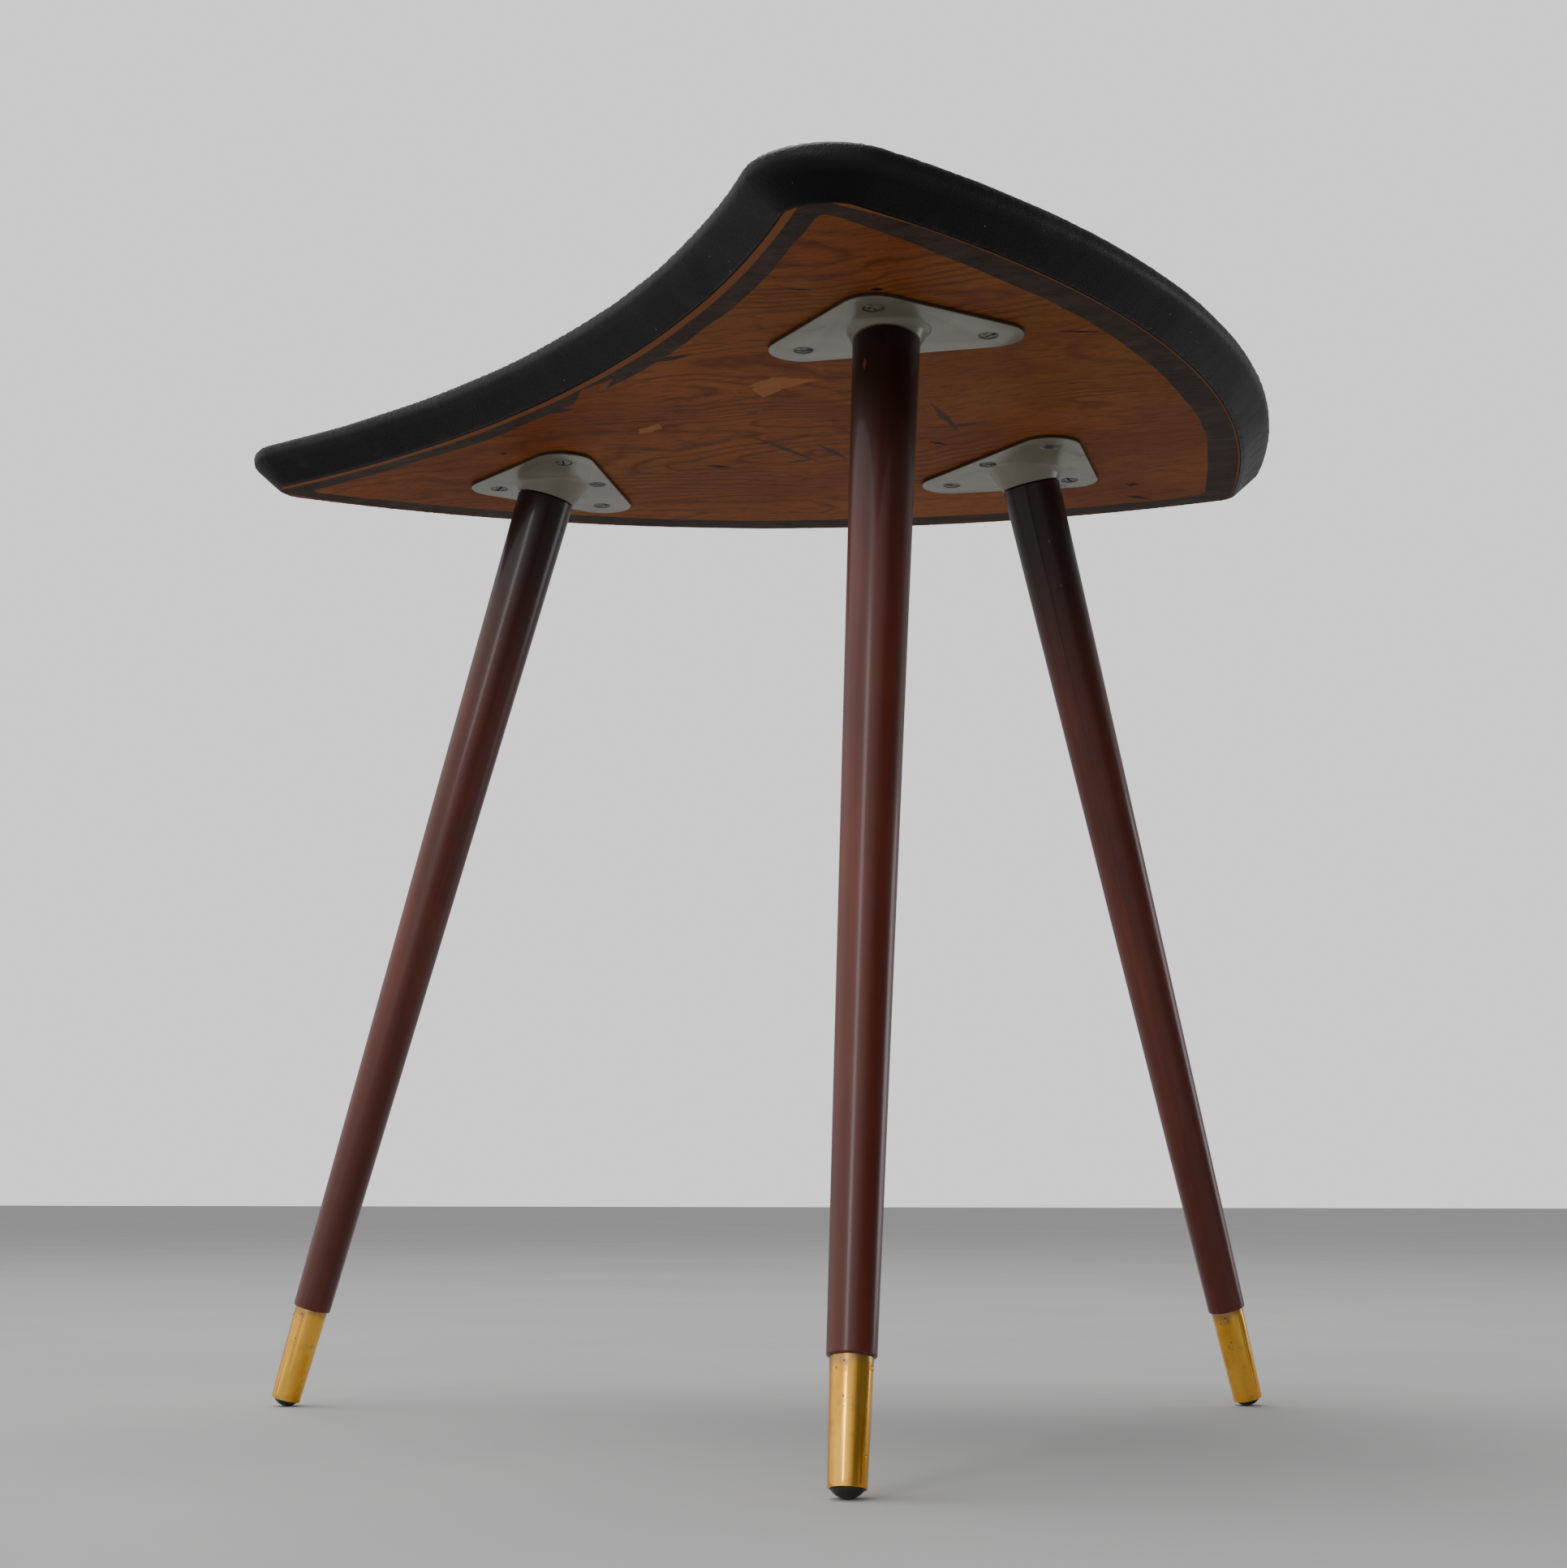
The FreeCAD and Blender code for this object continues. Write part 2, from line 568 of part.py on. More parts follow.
# ---------------------------------------------------------------------------------------------
# Leg: hanger bolt, turned wood, ferrule, pin and glide, all on the leg's own axis
# ---------------------------------------------------------------------------------------------
def hanger_bolt(leg):
    body = new_body("hanger_bolt_" + leg, leg_place(leg))
    revolve(body, [
        ("0", "Size.bolt_rise"),
        ("Size.bolt_radius - Size.bolt_chamfer", "Size.bolt_rise"),
        ("Size.bolt_radius", "Size.bolt_rise - Size.bolt_chamfer"),
        ("Size.bolt_radius", "-Size.bolt_step"),
        ("Size.bolt_screw", "-(Size.bolt_step + Size.bolt_spare)"),
        ("Size.bolt_screw", "-Size.bolt_point"),
        ("0", "-Size.bolt_end"),
    ])


SPIGOT_END = "(Size.leg_reach - Size.glide_collar)"
SPIGOT_INSET = "(Size.ferrule_wall + Size.ferrule_clearance)"
NAIL_TOP = "(%s - Size.nail_length)" % SPIGOT_END


def pin_hole(body):
    """The hole for the ferrule's pin, from outside towards the axis along local X."""
    start = "(Size.ferrule_top + Size.pin_proud - Size.pin_length - Size.bolt_spare)"
    place = "placement(vector(%s; 0; -%s); rotationy(90))" % (start, PIN_DEPTH)
    radius = "Size.pin_radius + Size.pin_clearance"
    primitive(body, "SubtractiveCylinder", place, Radius=radius, Height="2 * Size.pin_length")


def turned_leg(leg):
    body = new_body("leg_" + leg, leg_place(leg))
    bolt_hole = "Size.bolt_radius + Size.bolt_clearance"
    screw_hole = "Size.bolt_screw + Size.bolt_clearance"
    nail_hole = "Size.nail_radius + Size.nail_clearance"
    step = "-(Size.bolt_step + Size.bolt_spare + Size.bolt_spare)"
    end = "-(Size.bolt_end + Size.bolt_spare)"
    low_spigot = "Size.ferrule_foot + Size.glide_collar * %s - %s" % (FERRULE_SLOPE, SPIGOT_INSET)
    revolve(body, [
        (bolt_hole, "-Size.boss_depth"),
        ("Size.leg_head - Size.leg_bevel", "-Size.boss_depth"),
        ("Size.leg_head", "-(Size.boss_depth + Size.leg_bevel)"),
        ("Size.leg_ankle", "-(%s - Size.ankle_bevel)" % ANKLE),
        ("Size.leg_ankle - Size.ankle_bevel", "-" + ANKLE),
        ("Size.ferrule_top - " + SPIGOT_INSET, "-" + ANKLE),
        (low_spigot, "-" + SPIGOT_END),
        (nail_hole, "-" + SPIGOT_END),
        (nail_hole, "-(%s - Size.bolt_spare)" % NAIL_TOP),
        ("0", "-(%s - Size.bolt_spare)" % NAIL_TOP),
        ("0", end),
        (screw_hole, end),
        (screw_hole, step),
        (bolt_hole, step),
    ])
    pin_hole(body)


def ferrule(leg):
    body = new_body("ferrule_" + leg, leg_place(leg))
    revolve(body, [
        ("Size.ferrule_top - Size.ferrule_wall", "-" + ANKLE),
        ("Size.ferrule_top", "-" + ANKLE),
        ("Size.ferrule_foot", "-Size.leg_reach"),
        ("Size.ferrule_foot - Size.ferrule_wall", "-Size.leg_reach"),
    ])
    pin_hole(body)


def ferrule_pin(leg):
    body = new_body("ferrule_pin_" + leg, leg_place(leg))
    surface = "(Size.ferrule_top - Size.pin_drop * %s)" % FERRULE_SLOPE
    start = "(%s + Size.pin_proud - Size.pin_length)" % surface
    place = "placement(vector(%s; 0; -%s); rotationy(90))" % (start, PIN_DEPTH)
    primitive(body, "AdditiveCylinder", place, Radius="Size.pin_radius", Height="Size.pin_length")


def foot_glide(leg):
    body = new_body("foot_glide_" + leg, leg_place(leg))
    revolve(body, [
        ("0", "-" + NAIL_TOP),
        ("Size.nail_radius", "-(%s + Size.nail_radius)" % NAIL_TOP),
        ("Size.nail_radius", "-" + SPIGOT_END),
        ("Size.glide_radius", "-" + SPIGOT_END),
        ("Size.glide_radius", "-Size.leg_reach"),
        ("0", "-Size.leg_reach"),
    ])
    centre = at_height("-Size.leg_reach + " + GLIDE_RISE)
    cap = primitive(
        body, "AdditiveSphere", centre,
        Radius=GLIDE_SPHERE, Angle2="-asin(%s / %s)" % (GLIDE_RISE, GLIDE_SPHERE),
    )
    cap.Angle1 = -90
    doc.recompute()


for side in LEGS:
    leg_plate(side)
    leg_nut(side)
    leg_screws(side)
    hanger_bolt(side)
    turned_leg(side)
    ferrule(side)
    ferrule_pin(side)
    foot_glide(side)
doc.recompute()

# ---------------------------------------------------------------------------------------------
# Checks, then one STEP file for each node
# ---------------------------------------------------------------------------------------------
for item in doc.Objects:
    if "Invalid" in item.State or "Error" in item.State:
        raise RuntimeError("%s failed: %s" % (item.Label, item.State))
for label, item in nodes.items():
    if item.Shape.isNull() or not item.Shape.isValid() or not item.Shape.Solids:
        raise RuntimeError("%s has no valid solid" % label)
    if item.TypeId != "Part::Compound" and len(item.Shape.Solids) != 1:
        raise RuntimeError("%s is %d solids" % (label, len(item.Shape.Solids)))

os.makedirs("parts", exist_ok=True)
whole = FreeCAD.BoundBox()
for label, item in nodes.items():
    item.Shape.exportStep(os.path.join("parts", label + ".step"))
    whole.add(item.Shape.BoundBox)
    print("%-22s %2d solid(s) %10.1f mm3" % (label, len(item.Shape.Solids), item.Shape.Volume))
print("whole:", whole)
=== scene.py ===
# %% [markdown]
# # A three-legged stool
# A low stool whose seat is a bevelled plywood board, padded and covered in black leathercloth. Three
# splayed mahogany legs screw into enamelled plates under it, and end in brass ferrules. The packed
# model gives every size and place. This lesson keeps its metal and wooden shapes, and adds what a
# solid modeller leaves plain: the stuffed cover, soft edges, threads, and all of the finishes.

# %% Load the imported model
import bmesh
import bpy
import json
import math
from mathutils import Matrix, Vector, kdtree, noise


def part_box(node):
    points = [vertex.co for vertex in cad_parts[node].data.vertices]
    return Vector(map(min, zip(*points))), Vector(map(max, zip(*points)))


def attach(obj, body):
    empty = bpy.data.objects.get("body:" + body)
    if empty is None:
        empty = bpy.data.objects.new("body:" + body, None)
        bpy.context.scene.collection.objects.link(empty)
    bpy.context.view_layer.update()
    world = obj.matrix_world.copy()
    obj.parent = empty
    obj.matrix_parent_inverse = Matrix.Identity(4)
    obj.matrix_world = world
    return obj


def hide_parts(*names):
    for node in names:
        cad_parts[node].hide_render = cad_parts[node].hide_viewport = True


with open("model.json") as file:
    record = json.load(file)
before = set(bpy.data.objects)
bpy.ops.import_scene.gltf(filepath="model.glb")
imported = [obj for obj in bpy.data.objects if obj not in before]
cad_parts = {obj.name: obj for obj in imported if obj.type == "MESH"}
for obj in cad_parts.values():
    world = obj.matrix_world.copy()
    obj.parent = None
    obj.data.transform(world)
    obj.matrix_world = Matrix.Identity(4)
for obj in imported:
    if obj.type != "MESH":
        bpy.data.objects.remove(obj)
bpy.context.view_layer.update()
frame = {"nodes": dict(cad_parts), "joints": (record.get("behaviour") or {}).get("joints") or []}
NODES = frame["nodes"]
SIDES = ("left", "front", "right")
MM = 0.001

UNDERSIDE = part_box("underside_veneer")[0].z
SEAT_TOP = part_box("seat_cover")[1].z
print(f"underside at {UNDERSIDE:.4f} m, top of the seat at {SEAT_TOP:.4f} m")

# %% [markdown]
# ## Leg axes
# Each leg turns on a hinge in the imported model. The hinge gives the point where the leg's axis meets
# the underside and the direction that runs down the leg. Grain, threads and bevels follow that axis,
# so it is read once here rather than measured again.

# %% Read each leg's axis
HINGES = {joint["name"]: joint for joint in frame["joints"]}
LEG_TOP = {side: Vector(HINGES[side + "_leg_unscrew"]["pos_m"]) for side in SIDES}
LEG_DOWN = {side: Vector(HINGES[side + "_leg_unscrew"]["axis"]).normalized() for side in SIDES}


def leg_turn(side):
    """Rotation that takes +Z to the direction up the leg."""
    return Vector((0, 0, 1)).rotation_difference(-LEG_DOWN[side])


for side in SIDES:
    lean = math.degrees(LEG_DOWN[side].angle((0, 0, -1)))
    print(f"{side} leg leans {lean:.1f} degrees from {tuple(round(v, 4) for v in LEG_TOP[side])}")

# %% [markdown]
# ## Small helpers for meshes
# Blender's operators act on whatever is selected, and the loaded parts are all selected. So every
# step starts from nothing selected and one active object. A finished piece keeps its place in its
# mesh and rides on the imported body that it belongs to.

# %% Selection, copies and joining the frame


def only(piece):
    """Selects one object and makes it active."""
    bpy.ops.object.select_all(action="DESELECT")
    piece.select_set(True)
    bpy.context.view_layer.objects.active = piece


def copy_node(node, name):
    """A merged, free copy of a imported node's mesh."""
    piece = bpy.data.objects.new(name, NODES[node].data.copy())
    bpy.context.scene.collection.objects.link(piece)
    piece.data.materials.clear()
    only(piece)
    bpy.ops.object.mode_set(mode="EDIT")
    bpy.ops.mesh.select_all(action="SELECT")
    bpy.ops.mesh.remove_doubles(threshold=0.01 * MM)
    bpy.ops.object.mode_set(mode="OBJECT")
    return piece


def apply_all(piece):
    """Applies every modifier of a piece."""
    only(piece)
    for modifier in list(piece.modifiers):
        bpy.ops.object.modifier_apply(modifier=modifier.name)


def fit_in(piece, body, slot, *nodes):
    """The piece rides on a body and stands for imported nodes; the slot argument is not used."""
    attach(piece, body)
    if nodes:
        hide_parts(*nodes)
    print(f"{piece.name}: {len(piece.data.polygons)} faces, rides on {body}")


# %% [markdown]
# ## The seat's outline
# The edge of the cover must lie exactly on the board, so the outline isn't drawn again. The veneer
# is the seat's lowest layer, and its longest open edge, once everything but its lower face is gone,
# is the outline. Points along it, with the direction that points away from the seat, go in a search
# tree. Then any point of the cover can ask how far outside the outline it lies.

# %% Read the outline from the veneer


def outline_points(step=1.0 * MM):
    """Points along the seat's outline with their outward directions."""
    mesh = bmesh.new()
    mesh.from_mesh(NODES["underside_veneer"].data)
    bmesh.ops.remove_doubles(mesh, verts=mesh.verts, dist=0.01 * MM)
    mesh.normal_update()
    upper = [f for f in mesh.faces if f.normal.z > -0.9]
    bmesh.ops.delete(mesh, geom=upper, context="FACES")
    open_edges = {e for e in mesh.edges if e.is_boundary}
    runs = []
    while open_edges:
        first = open_edges.pop()
        start, here = first.verts
        run = [start, here]
        while here != start:
            link = next(e for e in here.link_edges if e in open_edges)
            open_edges.remove(link)
            here = link.other_vert(here)
            run.append(here)
        runs.append([v.co.copy() for v in run])
    mesh.free()
    longest = max(runs, key=lambda run: sum((b - a).length for a, b in zip(run, run[1:])))
    area = sum(a.x * b.y - b.x * a.y for a, b in zip(longest, longest[1:]))
    if area < 0:
        longest.reverse()
    found = []
    for a, b in zip(longest, longest[1:]):
        along = b - a
        away = Vector((along.y, -along.x, 0)).normalized()
        count = max(1, math.ceil(along.length / step))
        found += [(a + along * (i / count), away) for i in range(count)]
    return found


OUTLINE = outline_points()
OUTLINE_TREE = kdtree.KDTree(len(OUTLINE))
for index, (point, away) in enumerate(OUTLINE):
    OUTLINE_TREE.insert((point.x, point.y, 0), index)
OUTLINE_TREE.balance()


def outside_by(x, y):
    """How far (x, y) lies outside the seat's outline, and the outward direction there."""
    _, index, _ = OUTLINE_TREE.find((x, y, 0))
    point, away = OUTLINE[index]
    return (x - point.x) * away.x + (y - point.y) * away.y, away


print(f"the outline has {len(OUTLINE)} points")

# %% [markdown]
# ## Nodes for the finishes
# Materials are small networks. These functions add a node, a mix of two colours, a layer of one colour
# and a sum, and take a value or another node's socket for each input. So a finish reads as a list of
# layers.

# %% Helpers for node trees


def put(tree, kind, sockets=None, **settings):
    """Adds a shader node; sockets are linked where they are sockets and set where they are values."""
    made = tree.nodes.new("ShaderNode" + kind)
    for name, value in settings.items():
        setattr(made, name, value)
    for name, value in (sockets or {}).items():
        if isinstance(value, bpy.types.NodeSocket):
            tree.links.new(value, made.inputs[name])
        else:
            made.inputs[name].default_value = value
    return made


def mix(tree, mask, under, over):
    """The colour under, covered by the colour over where the mask is 1."""
    made = tree.nodes.new("ShaderNodeMix")
    made.data_type = "RGBA"
    for index, value in ((0, mask), (6, under), (7, over)):
        if isinstance(value, bpy.types.NodeSocket):
            tree.links.new(value, made.inputs[index])
        elif isinstance(value, tuple):
            made.inputs[index].default_value = (*value, 1)
        else:
            made.inputs[index].default_value = value
    return made.outputs[2]


def layer(tree, under, mask, share, over):
    """A colour over another where a mask is 1, at no more than a share of its strength."""
    return mix(tree, maths(tree, "MULTIPLY", mask, share), under, over)


def maths(tree, operation, *values):
    """One sum of one to three values or sockets."""
    return put(tree, "Math", dict(enumerate(values)), operation=operation).outputs[0]


def ramp(tree, value, low, high, start=0.0, end=1.0):
    """A smooth step from start, at low, to end, at high."""
    sockets = {"Value": value, "From Min": low, "From Max": high, "To Min": start, "To Max": end}
    return put(tree, "MapRange", sockets, interpolation_type="SMOOTHSTEP").outputs["Result"]


def new_group(name, inputs, outputs):
    """A node group with named sockets; returns its tree, its input node and its output node."""
    group = bpy.data.node_groups.new(name, "ShaderNodeTree")
    for label, kind, default in inputs:
        made = group.interface.new_socket(name=label, in_out="INPUT", socket_type="NodeSocket" + kind)
        if default is not None:
            made.default_value = default
    for label, kind in outputs:
        group.interface.new_socket(name=label, in_out="OUTPUT", socket_type="NodeSocket" + kind)
    return group, group.nodes.new("NodeGroupInput"), group.nodes.new("NodeGroupOutput")


def use(tree, group, sockets):
    """Places a group in a tree."""
    made = tree.nodes.new("ShaderNodeGroup")
    made.node_tree = group
    for name, value in sockets.items():
        if isinstance(value, bpy.types.NodeSocket):
            tree.links.new(value, made.inputs[name])
        else:
            made.inputs[name].default_value = value
    return made.outputs


# %% [markdown]
# ## Shared effects
# Four effects come back in several finishes, so each is a group. Patches are soft islands of noise,
# stretched along a direction where the wear has one: mottling, scuffs and scratches. Specks are small
# separate dots: dust, chips and pores. A spot is one ragged mark at a chosen place, pointed at its ends
# as a splinter is. Figure is the flowing line pattern of cut wood, taken from the contour lines of slow
# noise, with quicker noise that makes neighbouring lines ripple together.

# %% Patches


def make_patches():
    inputs = [
        ("Vector", "Vector", None), ("Stretch", "Vector", (1, 1, 1)), ("Scale", "Float", 20.0),
        ("Detail", "Float", 4.0), ("Low", "Float", 0.45), ("High", "Float", 0.65),
    ]
    group, inner, outer = new_group("Patches", inputs, [("Mask", "Float"), ("Value", "Float")])
    stretched = put(group, "VectorMath", {0: inner.outputs["Vector"], 1: inner.outputs["Stretch"]},
                    operation="MULTIPLY").outputs[0]
    value = put(group, "TexNoise", {
        "Vector": stretched, "Scale": inner.outputs["Scale"], "Detail": inner.outputs["Detail"],
        "Roughness": 0.6,
    }).outputs["Fac"]
    group.links.new(ramp(group, value, inner.outputs["Low"], inner.outputs["High"]), outer.inputs["Mask"])
    group.links.new(value, outer.inputs["Value"])
    return group


PATCHES = make_patches()
print("group:", PATCHES.name)

# %% Specks


def make_specks():
    inputs = [("Vector", "Vector", None), ("Scale", "Float", 200.0), ("Size", "Float", 0.2),
              ("Share", "Float", 0.3)]
    group, inner, outer = new_group("Specks", inputs, [("Mask", "Float")])
    cells = put(group, "TexVoronoi", {"Vector": inner.outputs["Vector"], "Scale": inner.outputs["Scale"]})
    dot = ramp(group, cells.outputs["Distance"], inner.outputs["Size"],
               maths(group, "MULTIPLY", inner.outputs["Size"], 0.6))
    chance = put(group, "SeparateColor", {"Color": cells.outputs["Color"]}).outputs["Red"]
    chosen = maths(group, "LESS_THAN", chance, inner.outputs["Share"])
    group.links.new(maths(group, "MULTIPLY", dot, chosen), outer.inputs["Mask"])
    return group


SPECKS = make_specks()
print("group:", SPECKS.name)

# %% Spot


def make_spot():
    inputs = [("Vector", "Vector", None), ("Centre", "Vector", (0, 0, 0)), ("Turn", "Vector", (0, 0, 0)),
              ("Half Size", "Vector", (0.01, 0.01, 1)), ("Raggedness", "Float", 0.5),
              ("Ragged Scale", "Float", 200.0)]
    group, inner, outer = new_group("Spot", inputs, [("Mask", "Float")])
    local = put(group, "Mapping", {
        "Vector": inner.outputs["Vector"], "Location": inner.outputs["Centre"],
        "Rotation": inner.outputs["Turn"], "Scale": inner.outputs["Half Size"],
    }, vector_type="TEXTURE").outputs[0]
    spread = put(group, "VectorMath", {0: local}, operation="ABSOLUTE").outputs[0]
    reach = put(group, "VectorMath", {0: spread, 1: (1, 1, 1)}, operation="DOT_PRODUCT").outputs["Value"]
    ragged = put(group, "TexNoise", {
        "Vector": inner.outputs["Vector"], "Scale": inner.outputs["Ragged Scale"], "Detail": 5.0,
    }).outputs["Fac"]
    shift = maths(group, "MULTIPLY", maths(group, "SUBTRACT", ragged, 0.5), inner.outputs["Raggedness"])
    edge = maths(group, "ADD", reach, shift)
    group.links.new(ramp(group, edge, 1.0, 0.9), outer.inputs["Mask"])
    return group


SPOT = make_spot()
print("group:", SPOT.name)

# %% Figure


def make_figure():
    inputs = [
        ("Vector", "Vector", None), ("Stretch", "Vector", (1, 1, 1)), ("Lines", "Float", 20.0),
        ("Ripple Stretch", "Vector", (30, 15, 15)), ("Ripple", "Float", 0.04),
    ]
    group, inner, outer = new_group("Figure", inputs, [("Lines", "Float"), ("Slow", "Float")])
    stretched = put(group, "VectorMath", {0: inner.outputs["Vector"], 1: inner.outputs["Stretch"]},
                    operation="MULTIPLY").outputs[0]
    slow = put(group, "TexNoise", {
        "Vector": stretched, "Scale": 1.0, "Detail": 1.5, "Roughness": 0.4, "Distortion": 0.5,
    }).outputs["Fac"]
    rippled = put(group, "VectorMath", {0: inner.outputs["Vector"], 1: inner.outputs["Ripple Stretch"]},
                  operation="MULTIPLY").outputs[0]
    quick = put(group, "TexNoise", {"Vector": rippled, "Scale": 1.0, "Detail": 2.0}).outputs["Fac"]
    wavered = maths(group, "MULTIPLY_ADD", quick, inner.outputs["Ripple"], slow)
    turns = maths(group, "MULTIPLY", wavered, maths(group, "MULTIPLY", inner.outputs["Lines"], 2 * math.pi))
    wave = maths(group, "MULTIPLY_ADD", maths(group, "SINE", turns), 0.5, 0.5)
    group.links.new(maths(group, "POWER", wave, 3.0), outer.inputs["Lines"])
    group.links.new(slow, outer.inputs["Slow"])
    return group


FIGURE = make_figure()
print("group:", FIGURE.name)

# %% Place the two commonest groups


def patches(tree, place, scale, low=0.45, high=0.65, detail=4.0, stretch=(1, 1, 1)):
    """Soft islands of noise, as Mask, and the noise itself, as Value."""
    return use(tree, PATCHES, {
        "Vector": place, "Stretch": stretch, "Scale": scale, "Detail": detail, "Low": low, "High": high,
    })


def specks(tree, place, scale, size, share):
    """Small separate dots, as Mask."""
    return use(tree, SPECKS, {"Vector": place, "Scale": scale, "Size": size, "Share": share})


# %% [markdown]
# ## One material, one function
# Every finish starts the same way: an empty network, the piece's own coordinates in metres, and one
# Principled shader at the end. The patterns that follow change its colour, roughness and height.

# %% Start and finish a material


def start(name):
    """A material's tree, emptied, and its object coordinates."""
    material = bpy.data.materials.new(name)
    material.use_nodes = True
    tree = material.node_tree
    tree.nodes.clear()
    return material, tree, put(tree, "TexCoord").outputs["Object"]


def surface(tree, sockets, height=None, depth=0.1 * MM):
    """Ends a material with a Principled shader, and a bump if a height is given."""
    shader = put(tree, "BsdfPrincipled", sockets)
    if height is not None:
        bump = put(tree, "Bump", {"Height": height, "Distance": depth, "Strength": 1.0})
        tree.links.new(bump.outputs["Normal"], shader.inputs["Normal"])
    end = put(tree, "OutputMaterial")
    tree.links.new(shader.outputs["BSDF"], end.inputs["Surface"])


def colour(red, green, blue):
    """A colour socket's value."""
    return (red, green, blue, 1.0)


def dress(piece, material):
    """The piece wears one material all over."""
    piece.data.materials.clear()
    piece.data.materials.append(material)


def marks(tree, place, spots, raggedness, ragged_scale):
    """The union of ragged spots, given as (centre, half size, turn about Z in degrees) in millimetres."""
    found = None
    for centre, half_size, turn in spots:
        spot = use(tree, SPOT, {
            "Vector": place, "Centre": tuple(v * MM for v in centre), "Turn": (0, 0, math.radians(turn)),
            "Half Size": tuple(v * MM for v in half_size), "Raggedness": raggedness,
            "Ragged Scale": ragged_scale,
        })["Mask"]
        found = spot if found is None else maths(tree, "MAXIMUM", found, spot)
    return found


# %% [markdown]
# ## Leathercloth
# The cover is black vinyl on cloth. It is nearly black, with a soft sheen rather than a gloss. Its
# grain is a net of fine pebbles, made from the edges of Voronoi cells. Years of handling have rubbed
# it: cloudy paler scuffs, a few dusty specks and long thin scratches. The upper half of the edge and
# the right corner are painted greyer than the bevel. This is partly wear, where hands carry the stool
# and where the corner gets knocked, and partly painted sheen and painted light. Inside the creases the
# colour is painted near black, a painted shade.

# %% Creases round the right corner
# (distance along the edge from the corner, half length across the edge) in millimetres
CREASES = [(-112, 4), (-104, 5), (-95, 7), (-83, 4), (-64, 9), (-46, 6), (-33, 8), (-27, 6), (12, 6), (25, 5)]
CREASE_HALF_WIDTH = 1.2
CREASE_HALF_HEIGHT = 16.0
LIT_AND_WORN_CORNER = 130 * MM
CORNER = max(range(len(OUTLINE)), key=lambda index: OUTLINE[index][0].x)


def crease_spots():
    """Each crease starts at the board's lower edge and runs straight out over the bevel."""
    spots = []
    for along, half_length in CREASES:
        point, away = OUTLINE[(CORNER + along) % len(OUTLINE)]
        centre = (point + away * (half_length + 1) * MM) / MM
        turn = math.degrees(math.atan2(away.y, away.x)) + (along % 7 - 3) * 6
        size = (half_length, CREASE_HALF_WIDTH, CREASE_HALF_HEIGHT)
        spots.append(((centre.x, centre.y, UNDERSIDE / MM + half_length), size, turn))
    return spots


print(len(CREASES), "creases round the right corner")

# %% The leathercloth finish


def leathercloth():
    material, tree, place = start("leathercloth_black")
    cloudy = patches(tree, place, 14.0, 0.42, 0.75)
    scuffs = patches(tree, place, 38.0, 0.58, 0.80, detail=8.0)
    scratches = patches(tree, place, 160.0, 0.66, 0.74, stretch=(0.25, 2.0, 3.0))
    dust = specks(tree, place, 230.0, 0.12, 0.05)
    tone = mix(tree, cloudy["Mask"], (0.0008, 0.0008, 0.0009), (0.0028, 0.0028, 0.0031))
    height_here = put(tree, "SeparateXYZ", {"Vector": place}).outputs["Z"]
    upper = ramp(tree, height_here, UNDERSIDE + 8 * MM, UNDERSIDE + 15 * MM)
    # The upper half of the edge is painted greyer: partly wear, partly painted sheen.
    grip_wear_and_sheen = maths(tree, "MULTIPLY", upper, maths(tree, "MULTIPLY_ADD", cloudy["Mask"], 0.5, 0.45))
    tone = mix(tree, grip_wear_and_sheen, tone, (0.026, 0.026, 0.027))
    # The right corner is painted greyer: partly wear from knocks, partly painted light.
    far = put(tree, "VectorMath", {0: place, 1: OUTLINE[CORNER][0]}, operation="DISTANCE").outputs["Value"]
    knock_wear_and_light = maths(tree, "MULTIPLY", ramp(tree, far, LIT_AND_WORN_CORNER, 0.4 * LIT_AND_WORN_CORNER), 0.75)
    worn = maths(tree, "MULTIPLY_ADD", scuffs["Value"], 0.9, 0.2)
    tone = mix(tree, maths(tree, "MULTIPLY", knock_wear_and_light, worn), tone, (0.085, 0.085, 0.090))
    tone = layer(tree, tone, scuffs["Mask"], 0.30, (0.040, 0.038, 0.032))
    tone = layer(tree, tone, scratches["Mask"], 0.15, (0.05, 0.05, 0.048))
    tone = layer(tree, tone, dust["Mask"], 0.5, (0.25, 0.24, 0.22))
    creases = marks(tree, place, crease_spots(), 1.0, 200.0)
    # Inside the creases the colour is painted near black: painted shade.
    tone = mix(tree, creases, tone, (0.0003, 0.0003, 0.0003))
    pebbles = put(tree, "TexVoronoi", {"Vector": place, "Scale": 750.0}, feature="DISTANCE_TO_EDGE")
    pebble = ramp(tree, pebbles.outputs["Distance"], 0.0, 0.35)
    ripple = put(tree, "TexNoise", {"Vector": place, "Scale": 90.0, "Detail": 3.0}).outputs["Fac"]
    height = maths(tree, "MULTIPLY_ADD", ripple, 2.0, pebble)
    height = maths(tree, "MULTIPLY_ADD", creases, -5.0, height)
    rough = maths(tree, "MULTIPLY_ADD", scuffs["Value"], 0.25, 0.26)
    surface(tree, {"Base Color": tone, "Roughness": rough, "Specular IOR Level": 0.14}, height, 0.07 * MM)
    return material


LEATHERCLOTH = leathercloth()
print("finish:", LEATHERCLOTH.name)

# %% [markdown]
# ## The stuffed cover
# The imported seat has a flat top, as a cut board has. A real pad is a little crowned, and its cloth is
# pulled tight round the board. All four layers of the seat are copied and remeshed as one skin of
# even 4 mm faces. The cloth solver blows that skin up with a little pressure, while everything below
# the pad is held.

# %% One skin round the seat
VOXEL = 4.0 * MM
SEAT_LAYERS = ("seat_cover", "seat_padding", "seat_board", "underside_veneer")


